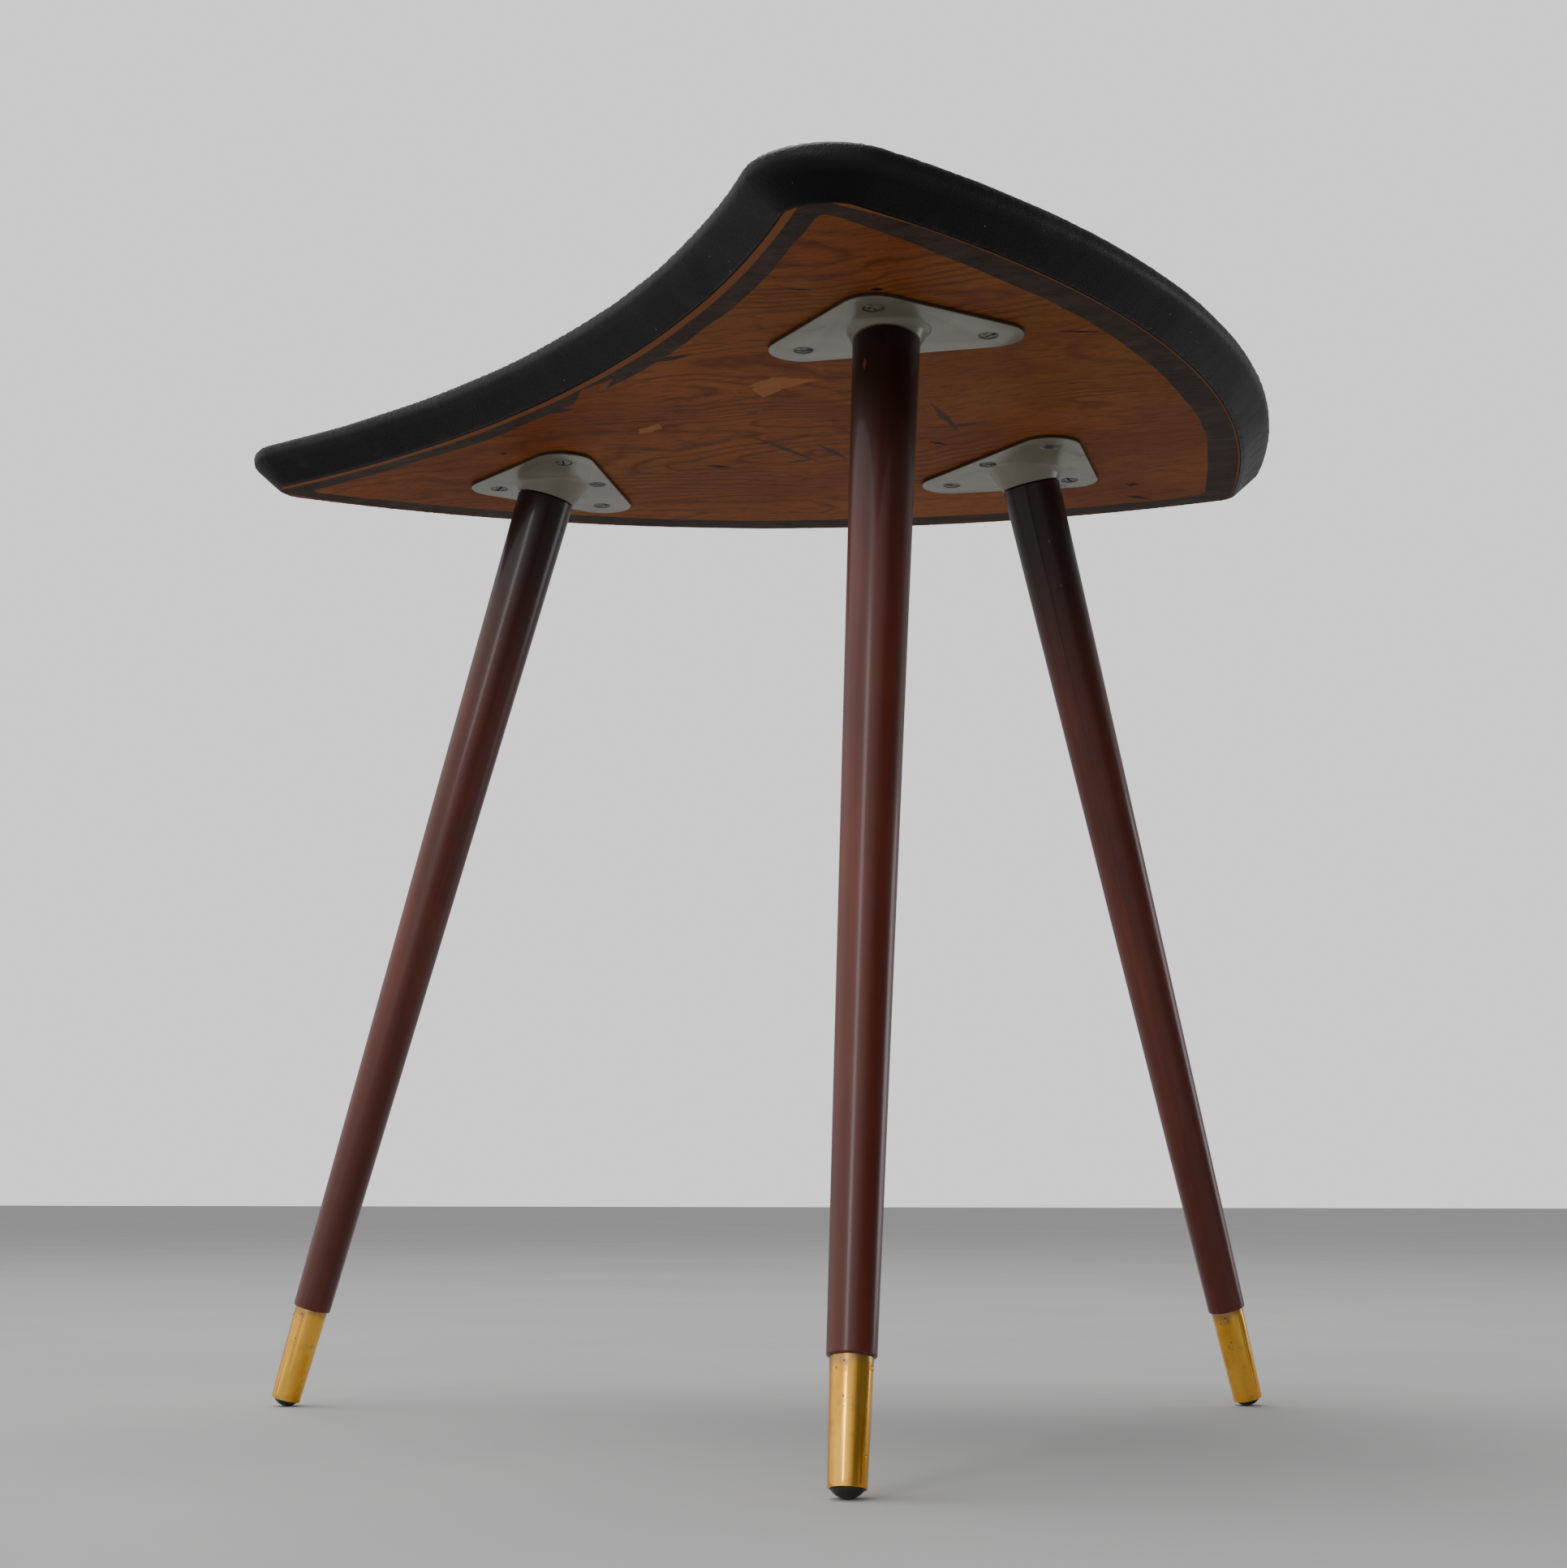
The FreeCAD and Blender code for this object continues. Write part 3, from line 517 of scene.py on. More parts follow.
def seat_skin():
    """A closed, evenly faced copy of the whole seat."""
    layers = [copy_node(node, "padded_cover") for node in SEAT_LAYERS]
    bpy.ops.object.select_all(action="DESELECT")
    for layer in layers:
        layer.select_set(True)
    bpy.context.view_layer.objects.active = layers[0]
    bpy.ops.object.join()
    skin = bpy.context.view_layer.objects.active
    remesh = skin.modifiers.new("even_faces", "REMESH")
    remesh.mode = "VOXEL"
    remesh.voxel_size = VOXEL
    apply_all(skin)
    skin.name = "padded_cover"
    return skin


COVER = seat_skin()
REST = [v.co.copy() for v in COVER.data.vertices]
print(f"{COVER.name}: {len(COVER.data.polygons)} faces of {VOXEL / MM:.0f} mm")

# %% [markdown]
# The bevel leans out from the underside to a kink, above which the edge stands upright. Points below
# the kink are pinned. The crown's highest rise is set here too, and how far from the edge it takes
# to reach it. What the solver gives is kept only as each point's rise, in an attribute of the mesh,
# so that the next step can true up the edge before the crown is put on.

# %% Inflate the pad
PRESSURE = 4.0
KINK = UNDERSIDE + 12.9 * MM
BEVEL_REACH = 15.15 * MM
CROWN_RISE = 7.0 * MM
CROWN_RUN = 80.0 * MM
FRAMES = 20


def inflate(skin):
    """Blows the pad up with cloth pressure, holding what is below the kink."""
    held = skin.vertex_groups.new(name="held")
    held.add([i for i, co in enumerate(REST) if co.z < KINK], 1.0, "REPLACE")
    cloth = skin.modifiers.new("stuffing", "CLOTH")
    cloth.settings.vertex_group_mass = "held"
    cloth.settings.use_pressure = True
    cloth.settings.uniform_pressure_force = PRESSURE
    cloth.settings.effector_weights.gravity = 0.0
    cloth.point_cache.frame_start = 1
    cloth.point_cache.frame_end = FRAMES
    for step in range(1, FRAMES + 1):
        bpy.context.scene.frame_set(step)
    apply_all(skin)
    skin.vertex_groups.clear()
    bpy.context.scene.frame_set(1)


def keep_rise(skin):
    """Stores each point's capped rise as an attribute and puts the point back where it was."""
    rises = skin.data.attributes.new("rise", "FLOAT", "POINT")
    for vertex, home in zip(skin.data.vertices, REST):
        inside = BEVEL_REACH - outside_by(home.x, home.y)[0]
        share = min(1.0, max(0.0, inside / CROWN_RUN))
        cap = CROWN_RISE * math.sin(share * math.pi / 2) if home.z > KINK else 0.0
        rises.data[vertex.index].value = max(0.0, min(cap, vertex.co.z - home.z))
        vertex.co = home
    return max(entry.value for entry in rises.data)


inflate(COVER)
print(f"the crown rises {keep_rise(COVER) / MM:.1f} mm")

# %% [markdown]
# ## Truing the cover's edge
# Remeshing rounds every corner off by about half a face. On the stool the leathercloth turns sharply
# round the arris under the board, and softly over the kink and the top. So the skin is subdivided
# once, and then each point near the edge is moved to the nearest place on the edge's true profile,
# a short run of lines and arcs. The skin's lower face would fight with the veneer that lies there,
# so it is lifted a hair's breadth. Last, the crown is put on.

# %% The edge's profile
LIP = 1.1 * MM
LIFT = 0.15 * MM
KINK_ROUND = 4.0 * MM
TOP_ROUND = 3.4 * MM
EDGE_ZONE = 30.0 * MM
THICKNESS = SEAT_TOP - UNDERSIDE
ARC_STEPS = 8


def round_corner(before, corner, after, radius):
    """Points of an arc that rounds the corner between two straight runs."""
    to_before = (before - corner).normalized()
    to_after = (after - corner).normalized()
    half = to_before.angle(to_after) / 2
    middle = corner + (to_before + to_after).normalized() * (radius / math.sin(half))
    first = (corner + to_before * (radius / math.tan(half)) - middle).normalized()
    last = (corner + to_after * (radius / math.tan(half)) - middle).normalized()
    return [middle + first.slerp(last, i / ARC_STEPS) * radius for i in range(ARC_STEPS + 1)]


def edge_profile():
    """(outside, height) points from under the board, up the bevel and over the top."""
    inner_low = Vector((-2 * EDGE_ZONE, 0.0))
    lip = Vector((LIP, 0.0))
    kink = Vector((BEVEL_REACH, KINK - UNDERSIDE))
    shoulder = Vector((BEVEL_REACH, THICKNESS))
    inner_high = Vector((-2 * EDGE_ZONE, THICKNESS))
    run = [inner_low, lip]
    run += round_corner(lip, kink, shoulder, KINK_ROUND)
    run += round_corner(kink, shoulder, inner_high, TOP_ROUND)
    return run + [inner_high]


PROFILE = edge_profile()


def on_profile(here):
    """The nearest point of the profile to an (outside, height) point."""
    best = None
    for a, b in zip(PROFILE, PROFILE[1:]):
        run = b - a
        share = max(0.0, min(1.0, (here - a).dot(run) / run.length_squared))
        point = a + run * share
        if best is None or (point - here).length < (best - here).length:
            best = point
    return best


print(f"the profile has {len(PROFILE)} points")

# %% Subdivide, true up the edge and put the crown on


def subdivide(skin):
    smooth = skin.modifiers.new("smooth", "SUBSURF")
    smooth.levels = 1
    smooth.render_levels = 1
    apply_all(skin)


def true_up(skin):
    """Moves the points near the edge to the profile and raises the crown."""
    rises = skin.data.attributes["rise"].data
    for vertex, rise in zip(skin.data.vertices, rises):
        outside, away = outside_by(vertex.co.x, vertex.co.y)
        height = vertex.co.z - UNDERSIDE
        if outside > -EDGE_ZONE:
            target = on_profile(Vector((outside, height)))
            vertex.co += away * (target.x - outside)
            height = target.y
        else:
            height = THICKNESS if height > THICKNESS / 2 else 0.0
        vertex.co.z = UNDERSIDE + max(LIFT, height) + rise.value


subdivide(COVER)
true_up(COVER)
print(f"{COVER.name}: {len(COVER.data.polygons)} faces after subdivision")

# %% [markdown]
# ## Creases and dents
# Leathercloth that is pulled round a tight outward corner gathers into small creases that run across
# the edge. The right corner of the seat has them. They are pushed into the skin along its own
# outward direction, as narrow valleys that fade out away from the corner. Slow noise adds the faint
# unevenness of the stuffing everywhere.

# %% Crease the right corner
CREASE_REACH = 110.0 * MM
CREASE_DEPTH = 0.55 * MM
CREASES_PER_METRE = (170, 170, 35)
VALLEY_STEEPNESS = 2.2
VALLEY_WIDTH = 0.55
DENT_DEPTH = 0.25 * MM
DENTS_PER_METRE = 28
FLAT_TOP_INSIDE = 25 * MM
STILL_BELOW = UNDERSIDE + 1.5 * MM
FADE_IN = 4 * MM


def crease(skin):
    """Valleys across the edge near the right corner, and slow dents all over."""
    corner = OUTLINE[CORNER][0]
    skin.data.update()
    normals = [v.normal.copy() for v in skin.data.vertices]
    for vertex, normal in zip(skin.data.vertices, normals):
        if vertex.co.z < STILL_BELOW:
            continue
        outside, away = outside_by(vertex.co.x, vertex.co.y)
        if outside < -FLAT_TOP_INSIDE and normal.z > 0.9:
            continue
        near = 1.0 - min(1.0, (vertex.co - corner).length / CREASE_REACH)
        valley = abs(noise.noise(vertex.co * Vector(CREASES_PER_METRE))) * VALLEY_STEEPNESS
        depth = CREASE_DEPTH * near * max(0.0, VALLEY_WIDTH - valley) / VALLEY_WIDTH
        dent = DENT_DEPTH * noise.noise(vertex.co * DENTS_PER_METRE)
        edge = min(1.0, (vertex.co.z - STILL_BELOW) / FADE_IN)
        vertex.co += normal * (dent - depth) * edge


crease(COVER)
only(COVER)
bpy.ops.object.shade_smooth()
dress(COVER, LEATHERCLOTH)
fit_in(COVER, "seat", "leathercloth", "seat_cover", "seat_padding")

# %% [markdown]
# ## The bare underside
# Under the board is a sheet of rotary-cut veneer: reddish brown, with dark lines that flow like
# contour lines, because the knife peels round the log. A cover once went round the edge, and its
# glue has left a dark band with a torn inner edge. The band follows the outline, so the material
# works out its distance from the three long arcs that the outline is made of.

# %% Distance from the seat's edge, as a node group
# (centre x, centre y, radius, outward arc) of the three long edges of the underside
ARCS = {
    "back": (3.09 * MM, -304.48 * MM, 551.64 * MM, True),
    "right": (-294.52 * MM, 199.22 * MM, 557.43 * MM, True),
    "left": (-655.79 * MM, -405.95 * MM, 690.19 * MM, False),
}


def make_edge_distance():
    group, inner, outer = new_group("Edge distance", [("Vector", "Vector", None)],
                                    [("Metres", "Float"), ("Left", "Float")])
    flat = put(group, "VectorMath", {0: inner.outputs["Vector"], 1: (1, 1, 0)},
               operation="MULTIPLY").outputs[0]
    reach = {}
    for name, (x, y, radius, outward) in ARCS.items():
        far = put(group, "VectorMath", {0: flat, 1: (x, y, 0)}, operation="DISTANCE").outputs["Value"]
        reach[name] = maths(group, "SUBTRACT", *((radius, far) if outward else (far, radius)))
    nearest = maths(group, "SMOOTH_MIN", reach["back"], reach["right"], 0.008)
    nearest = maths(group, "SMOOTH_MIN", nearest, reach["left"], 0.012)
    group.links.new(nearest, outer.inputs["Metres"])
    group.links.new(reach["left"], outer.inputs["Left"])
    return group


EDGE_DISTANCE = make_edge_distance()
print("group:", EDGE_DISTANCE.name)

# %% [markdown]
# Marks at chosen places make the sheet this one: two pale patches where the face has torn away, a
# few splinters and gouges, and some strokes of a carpenter's pencil.

# %% Marks on the veneer
# (x, y, half length, half width, turn in degrees) on the underside, in millimetres
TORN = [(12, -22, 21, 10, -19), (6, -13, 8, 14, 10), (-55, 54, 10, 5, -56), (-51, 50, 4, 8, 20)]
GOUGES = [
    (20.7, -150.4, 9, 1.0, 8), (53.7, -150.6, 3, 2.5, 0), (-20.7, 119.2, 7, 2.4, 12),
    (93.3, 75.3, 6, 2.0, 30), (146.7, -97.0, 12, 1.2, 0), (204.0, 152.3, 4, 3.4, 0),
    (211.1, 178.5, 9, 2.6, 25), (-132.0, 96.0, 3, 2.0, 0),
]
STROKES = [
    (16, 88, 34, 2.6, 52), (6, 76, 9, 2.2, -20), (24, 108, 12, 2.2, -30), (40, 92, 20, 2.4, 60),
    (94, 30, 26, 2.6, 70), (104, 44, 16, 2.4, -25),
]
BARE_TEARS = [(-78, -8, 24, 6, -62), (-24, -84, 16, 4, -70)]
GLUE_SLIVERS = [(-38, -59, 13, 3.0, -30), (-98, 22, 12, 4.0, -20)]


def flat_spots(places):
    """The same marks as (centre, half size, turn), deep enough to reach through the veneer."""
    return [((x, y, UNDERSIDE / MM), (long, wide, 1 / MM), turn) for x, y, long, wide, turn in places]


print(len(TORN), "torn patches,", len(GOUGES), "gouges and", len(STROKES), "pencil strokes")

# %% The veneer finish
GRAIN_TURN = math.radians(16)


def grain_place(tree, place):
    """Coordinates turned along the grain and pushed about, so that the lines flow."""
    drift = put(tree, "TexNoise", {"Vector": place, "Scale": 4.5, "Detail": 1.0}).outputs["Color"]
    pushed = put(tree, "VectorMath", {0: drift, 1: (0.03, 0.09, 0.0), 2: place},
                 operation="MULTIPLY_ADD").outputs[0]
    return put(tree, "Mapping", {"Vector": pushed, "Rotation": (0, 0, GRAIN_TURN)}).outputs[0]


def glue_band(tree, place):
    """Masks of the dark glue band round the edge and of the bare line outside it."""
    edge = use(tree, EDGE_DISTANCE, {"Vector": place})
    slow = patches(tree, place, 8.0, detail=2.5)["Value"]
    wide = ramp(tree, edge["Left"], 15 * MM, 70 * MM, 9.5 * MM, 12.0 * MM)
    width = maths(tree, "MULTIPLY_ADD", slow, 10 * MM, wide)
    band = ramp(tree, maths(tree, "SUBTRACT", width, edge["Metres"]), -0.2 * MM, 0.5 * MM)
    kept = maths(tree, "SUBTRACT", 1.0, marks(tree, place, flat_spots(BARE_TEARS), 0.6, 90.0))
    slivers = marks(tree, place, flat_spots(GLUE_SLIVERS), 0.8, 160.0)
    band = maths(tree, "MAXIMUM", maths(tree, "MULTIPLY", band, kept), slivers)
    line_width = ramp(tree, edge["Left"], 5 * MM, 60 * MM, 3.6 * MM, 0.4 * MM)
    line_width = maths(tree, "MULTIPLY_ADD", slow, 2.0 * MM, line_width)
    line = ramp(tree, maths(tree, "SUBTRACT", line_width, edge["Metres"]), -0.2 * MM, 0.4 * MM)
    rim = ramp(tree, edge["Metres"], 0.9 * MM, 0.3 * MM)
    return band, line, rim


def veneer():
    material, tree, place = start("veneer_rotary_cut")
    grain = grain_place(tree, place)
    figure = use(tree, FIGURE, {
        "Vector": grain, "Stretch": (2.2, 10.0, 1), "Lines": 30.0, "Ripple Stretch": (36, 11, 1),
        "Ripple": 0.06,
    })
    fine = use(tree, FIGURE, {
        "Vector": grain, "Stretch": (7.0, 44.0, 1), "Lines": 16.0, "Ripple Stretch": (70, 30, 1),
        "Ripple": 0.05,
    })
    flecks = patches(tree, grain, 85.0, 0.57, 0.66, detail=2.0, stretch=(1, 5, 1))
    pores = patches(tree, grain, 230.0, 0.50, 0.66, detail=2.0, stretch=(1, 9, 1))
    areas = patches(tree, place, 8.0, 0.35, 0.68, detail=3.0)
    sallow = patches(tree, grain, 5.0, 0.48, 0.68, detail=2.0)
    shown = patches(tree, place, 7.0, 0.44, 0.60, detail=2.0)
    tone = mix(tree, areas["Mask"], (0.190, 0.050, 0.010), (0.275, 0.092, 0.026))
    tone = layer(tree, tone, sallow["Mask"], 0.55, (0.200, 0.078, 0.014))
    lines = maths(tree, "MULTIPLY", figure["Lines"], maths(tree, "MULTIPLY_ADD", shown["Mask"], 0.42, 0.06))
    tone = mix(tree, lines, tone, (0.055, 0.011, 0.002))
    tone = layer(tree, tone, fine["Lines"], 0.22, (0.075, 0.016, 0.003))
    tone = layer(tree, tone, flecks["Mask"], 0.38, (0.050, 0.011, 0.003))
    tone = layer(tree, tone, pores["Mask"], 0.30, (0.070, 0.018, 0.005))

    torn = marks(tree, place, flat_spots(TORN), 1.0, 70.0)
    bare = mix(tree, pores["Mask"], (0.330, 0.135, 0.040), (0.25, 0.092, 0.026))
    tone = layer(tree, tone, torn, 0.85, bare)
    pencil = maths(tree, "MULTIPLY", marks(tree, place, flat_spots(STROKES), 0.7, 400.0), 0.75)
    tone = mix(tree, pencil, tone, (0.035, 0.032, 0.030))
    gouges = marks(tree, place, flat_spots(GOUGES), 0.7, 240.0)
    tone = mix(tree, gouges, tone, (0.020, 0.006, 0.003))

    band, line, rim = glue_band(tree, place)
    smear = patches(tree, grain, 50.0, 0.3, 0.8, stretch=(1, 2, 1))
    glue = mix(tree, smear["Mask"], (0.034, 0.021, 0.015), (0.062, 0.039, 0.028))
    glue = layer(tree, glue, flecks["Mask"], 0.5, (0.016, 0.008, 0.005))
    tone = mix(tree, band, tone, glue)
    tone = layer(tree, tone, line, 0.85, (0.230, 0.075, 0.018))
    tone = mix(tree, rim, tone, (0.004, 0.002, 0.001))

    height = maths(tree, "MULTIPLY_ADD", torn, -3.0, maths(tree, "MULTIPLY", band, 1.2))
    height = maths(tree, "MULTIPLY_ADD", flecks["Mask"], -0.8, height)
    height = maths(tree, "MULTIPLY_ADD", gouges, -4.0, height)
    height = maths(tree, "MULTIPLY_ADD", fine["Lines"], -0.25, height)
    rough = maths(tree, "MULTIPLY_ADD", areas["Value"], 0.20, 0.50)
    surface(tree, {"Base Color": tone, "Roughness": rough, "Specular IOR Level": 0.08}, height, 0.12 * MM)
    return material


dress(NODES["underside_veneer"], veneer())
print("finish: veneer_rotary_cut")

# %% [markdown]
# ## Plywood
# The board hides between veneer and cover, and only the inside of its screw holes can be seen. Its
# edge would show thin plies, dark glue lines between pale wood, so its colour bands with height.

# %% The plywood finish
PLY = 1.4 * MM


def plywood():
    material, tree, place = start("board_plywood")
    height = put(tree, "SeparateXYZ", {"Vector": place}).outputs["Z"]
    turns = maths(tree, "MULTIPLY", height, 2 * math.pi / PLY)
    plies = maths(tree, "MULTIPLY_ADD", maths(tree, "SINE", turns), 0.5, 0.5)
    grain = patches(tree, place, 90.0, stretch=(1, 8, 8))
    tone = mix(tree, plies, (0.42, 0.27, 0.15), (0.30, 0.17, 0.09))
    tone = layer(tree, tone, grain["Mask"], 0.4, (0.18, 0.09, 0.045))
    surface(tree, {"Base Color": tone, "Roughness": 0.75}, grain["Value"], 0.1 * MM)
    return material


dress(NODES["seat_board"], plywood())
print("finish: board_plywood")

# %% [markdown]
# ## Softer edges on pressed and turned parts
# Solid modellers leave knife edges, and real pressed sheet, screw heads and ferrules have small
# rounds that catch the light. Each part is copied and merged, its flat faces are joined up again, and
# a narrow bevel runs along its sharp edges.

# %% Copy a node with softened edges


def soften(node, name, width, sharp=30.0):
    """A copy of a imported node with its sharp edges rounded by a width."""
    piece = copy_node(node, name)
    bpy.ops.object.mode_set(mode="EDIT")
    bpy.ops.mesh.select_all(action="SELECT")
    bpy.ops.mesh.dissolve_limited(angle_limit=math.radians(1.0))
    bpy.ops.object.mode_set(mode="OBJECT")
    bevel = piece.modifiers.new("soft_edges", "BEVEL")
    bevel.width = width
    bevel.segments = 3
    bevel.limit_method = "ANGLE"
    bevel.angle_limit = math.radians(sharp)
    apply_all(piece)
    bpy.ops.object.shade_smooth_by_angle(angle=math.radians(35))
    return piece


# %% [markdown]
# ## Enamelled plates
# The plates are pressed steel under a thick, smooth grey-white enamel. Their thin outer edge is
# painted dark, a painted shade line, and the ring of each countersink is painted near black as
# painted shade, with a softer darkening round it. The screw holes are
# found from the imported screws: the points of the mesh that belong to one screw lie close together.

# %% Find the countersinks
HOLE_GAP = 20.0 * MM


def screw_places(side):
    """The middle of each screw of a plate, from its driving face."""
    low = [v.co for v in NODES["leg_screws_" + side].data.vertices if v.co.z < UNDERSIDE - 1.0 * MM]
    heads = []
    for point in low:
        near = next((head for head in heads if (head[0] - point).length < HOLE_GAP), None)
        if near is None:
            heads.append([point])
        else:
            near.append(point)
    middles = []
    for head in heads:
        xs = [point.x for point in head]
        ys = [point.y for point in head]
        middles.append(((min(xs) + max(xs)) / 2, (min(ys) + max(ys)) / 2))
    return middles


for side in SIDES:
    print(side, "plate:", len(screw_places(side)), "screws")

# %% The enamel finish
PLATE_FACE = UNDERSIDE - 2.0 * MM
RING = 4.3 * MM


def enamel(side):
    material, tree, place = start("plate_enamel_" + side)
    clouds = patches(tree, place, 30.0, 0.35, 0.75, detail=2.0)
    grime = patches(tree, place, 70.0, 0.58, 0.80, detail=6.0)
    chips = specks(tree, place, 75.0, 0.10, 0.06)
    tone = mix(tree, clouds["Mask"], (0.155, 0.140, 0.102), (0.205, 0.186, 0.140))
    tone = layer(tree, tone, grime["Mask"], 0.30, (0.12, 0.095, 0.06))
    tone = mix(tree, chips["Mask"], tone, (0.030, 0.023, 0.018))
    flat = put(tree, "VectorMath", {0: place, 1: (1, 1, 0)}, operation="MULTIPLY").outputs[0]
    nearest = None
    for x, y in screw_places(side):
        far = put(tree, "VectorMath", {0: flat, 1: (x, y, 0)}, operation="DISTANCE").outputs["Value"]
        nearest = far if nearest is None else maths(tree, "MINIMUM", nearest, far)
    ring = ramp(tree, nearest, RING + 0.9 * MM, RING)
    halo = ramp(tree, nearest, RING + 4.0 * MM, RING)
    tone = layer(tree, tone, halo, 0.22, (0.10, 0.08, 0.05))
    # The ring in each countersink is painted near black: painted shade.
    tone = mix(tree, ring, tone, (0.012, 0.009, 0.007))
    height_here = put(tree, "SeparateXYZ", {"Vector": place}).outputs["Z"]
    # The thin outer edge of the plate is painted dark brown: painted shade.
    wall = ramp(tree, height_here, PLATE_FACE + 0.25 * MM, PLATE_FACE + 0.6 * MM)
    tone = layer(tree, tone, wall, 0.92, (0.030, 0.014, 0.009))
    ripple = put(tree, "TexNoise", {"Vector": place, "Scale": 38.0, "Detail": 1.0}).outputs["Fac"]
    height = maths(tree, "MULTIPLY_ADD", chips["Mask"], -0.6, ripple)
    rough = maths(tree, "MULTIPLY_ADD", grime["Mask"], 0.35, 0.30)
    surface(tree, {
        "Base Color": tone, "Roughness": rough, "Coat Weight": 0.15, "Coat Roughness": 0.2,
    }, height, 0.10 * MM)
    return material


for side in SIDES:
    plate = soften("leg_plate_" + side, "enamel_plate_" + side, 0.35 * MM)
    dress(plate, enamel(side))
    fit_in(plate, "seat", "plate_enamel", "leg_plate_" + side)

# %% [markdown]
# ## Screws
# The wood screws are old steel with a little of the plates' enamel left on them, and their slots are
# painted near black, a painted shade. The slot floor lies above the head's face, so height alone tells
# the painted shade where to go.

# %% The screw finish
SLOT_DEEP = UNDERSIDE - 1.35 * MM


def screw_finish():
    material, tree, place = start("screw_worn")
    height = put(tree, "SeparateXYZ", {"Vector": place}).outputs["Z"]
    deep = ramp(tree, height, SLOT_DEEP - 0.5 * MM, SLOT_DEEP)
    worn = patches(tree, place, 420.0, 0.42, 0.62, detail=4.0)
    tone = mix(tree, worn["Mask"], (0.150, 0.140, 0.110), (0.055, 0.045, 0.034))
    # The slots are painted near black: painted shade.
    tone = mix(tree, deep, tone, (0.006, 0.005, 0.004))
    metal = maths(tree, "MULTIPLY", worn["Mask"], 0.5)
    rough = maths(tree, "MULTIPLY_ADD", worn["Value"], 0.4, 0.25)
    surface(tree, {"Base Color": tone, "Roughness": rough, "Metallic": metal}, worn["Value"], 0.08 * MM)
    return material


SCREW_FINISH = screw_finish()
for side in SIDES:
    screws = soften("leg_screws_" + side, "slotted_screws_" + side, 0.18 * MM)
    dress(screws, SCREW_FINISH)
    fit_in(screws, "seat", "screw_steel", "leg_screws_" + side)

# %% [markdown]
# ## Mahogany legs
# The legs are turned wood stained to a dark mahogany and lacquered. The stain glows red where light
# gets through the lacquer, and the top of each leg, towards the seat, is painted nearly black: painted
# shade. The grain runs down each leg, so the finish works in coordinates turned to the leg's own axis
# and squeezed along it. A clear coat on the shader gives the lacquer its long highlight.

# %% The leg finish
# (centre, half size, turn) of a few old knocks, in millimetres along each leg's own axis
KNOCKS = {
    "left": [((-9.0, -11.0, -300), (1.0, 1.0, 4.0), 0)],
    "front": [((-9.7, -11.4, -28), (1.6, 1.6, 4.2), 0), ((-3.0, -13.0, -210), (2.2, 1.0, 0.8), 0)],
    "right": [((0.5, -14.5, -42), (1.0, 1.0, 1.8), 0), ((1.0, -14.0, -66), (1.3, 1.3, 1.6), 0)],
}


def leg_place(tree, place, side):
    """Coordinates along a leg: zero where its axis meets the underside, with Z up the leg."""
    return put(tree, "Mapping", {
        "Vector": place, "Location": LEG_TOP[side], "Rotation": leg_turn(side).to_euler(),
    }, vector_type="TEXTURE").outputs[0]


def mahogany(side):
    material, tree, place = start("leg_mahogany_" + side)
    along = leg_place(tree, place, side)
    figure = use(tree, FIGURE, {
        "Vector": along, "Stretch": (28, 28, 1.7), "Lines": 9.0, "Ripple Stretch": (250, 250, 12),
        "Ripple": 0.06,
    })
    streaks = patches(tree, along, 260.0, 0.40, 0.70, detail=3.0, stretch=(1, 1, 0.03))
    stain = patches(tree, along, 20.0, 0.35, 0.72, detail=4.0, stretch=(1, 1, 0.3))
    tone = mix(tree, stain["Mask"], (0.080, 0.0110, 0.0040), (0.145, 0.0240, 0.0080))
    tone = layer(tree, tone, streaks["Mask"], 0.40, (0.050, 0.0075, 0.0030))
    tone = layer(tree, tone, figure["Lines"], 0.30, (0.055, 0.0085, 0.0035))
    depth = put(tree, "SeparateXYZ", {"Vector": along}).outputs["Z"]
    # Towards the seat each leg is painted nearly black: painted shade.
    darker = ramp(tree, depth, -150 * MM, -30 * MM)
    tone = layer(tree, tone, darker, 0.90, (0.0040, 0.0012, 0.0010))
    nicks = specks(tree, along, 80.0, 0.07, 0.05)
    knocks = marks(tree, along, KNOCKS[side], 0.8, 420.0)
    tone = layer(tree, tone, nicks["Mask"], 0.5, (0.16, 0.065, 0.03))
    tone = layer(tree, tone, knocks, 0.8, (0.120, 0.045, 0.020))
    height = maths(tree, "MULTIPLY_ADD", nicks["Mask"], -1.2, maths(tree, "MULTIPLY", streaks["Value"], 0.3))
    height = maths(tree, "MULTIPLY_ADD", knocks, -3.0, height)
    rough = maths(tree, "MULTIPLY_ADD", stain["Value"], 0.20, 0.26)
    surface(tree, {
        "Base Color": tone, "Roughness": rough, "Specular IOR Level": 0.35, "Coat Weight": 0.25,
        "Coat Roughness": 0.10,
    }, height, 0.08 * MM)
    return material


for side in SIDES:
    dress(NODES["leg_" + side], mahogany(side))
    print("finish: leg_mahogany_" + side)

# %% [markdown]
# ## Brass ferrules and pins
# Each foot has a tapered brass tube, held by a small pin. It still has its polish, so it mirrors light
# and dark in long stripes. Brown tarnish creeps down from its upper rim, and orange clouds lie on it.

# %% The brass finish


def ferrule_top(side):
    """How far down its leg's axis a ferrule starts."""
    points = NODES["ferrule_" + side].data.vertices
    return min((v.co - LEG_TOP[side]).dot(LEG_DOWN[side]) for v in points)


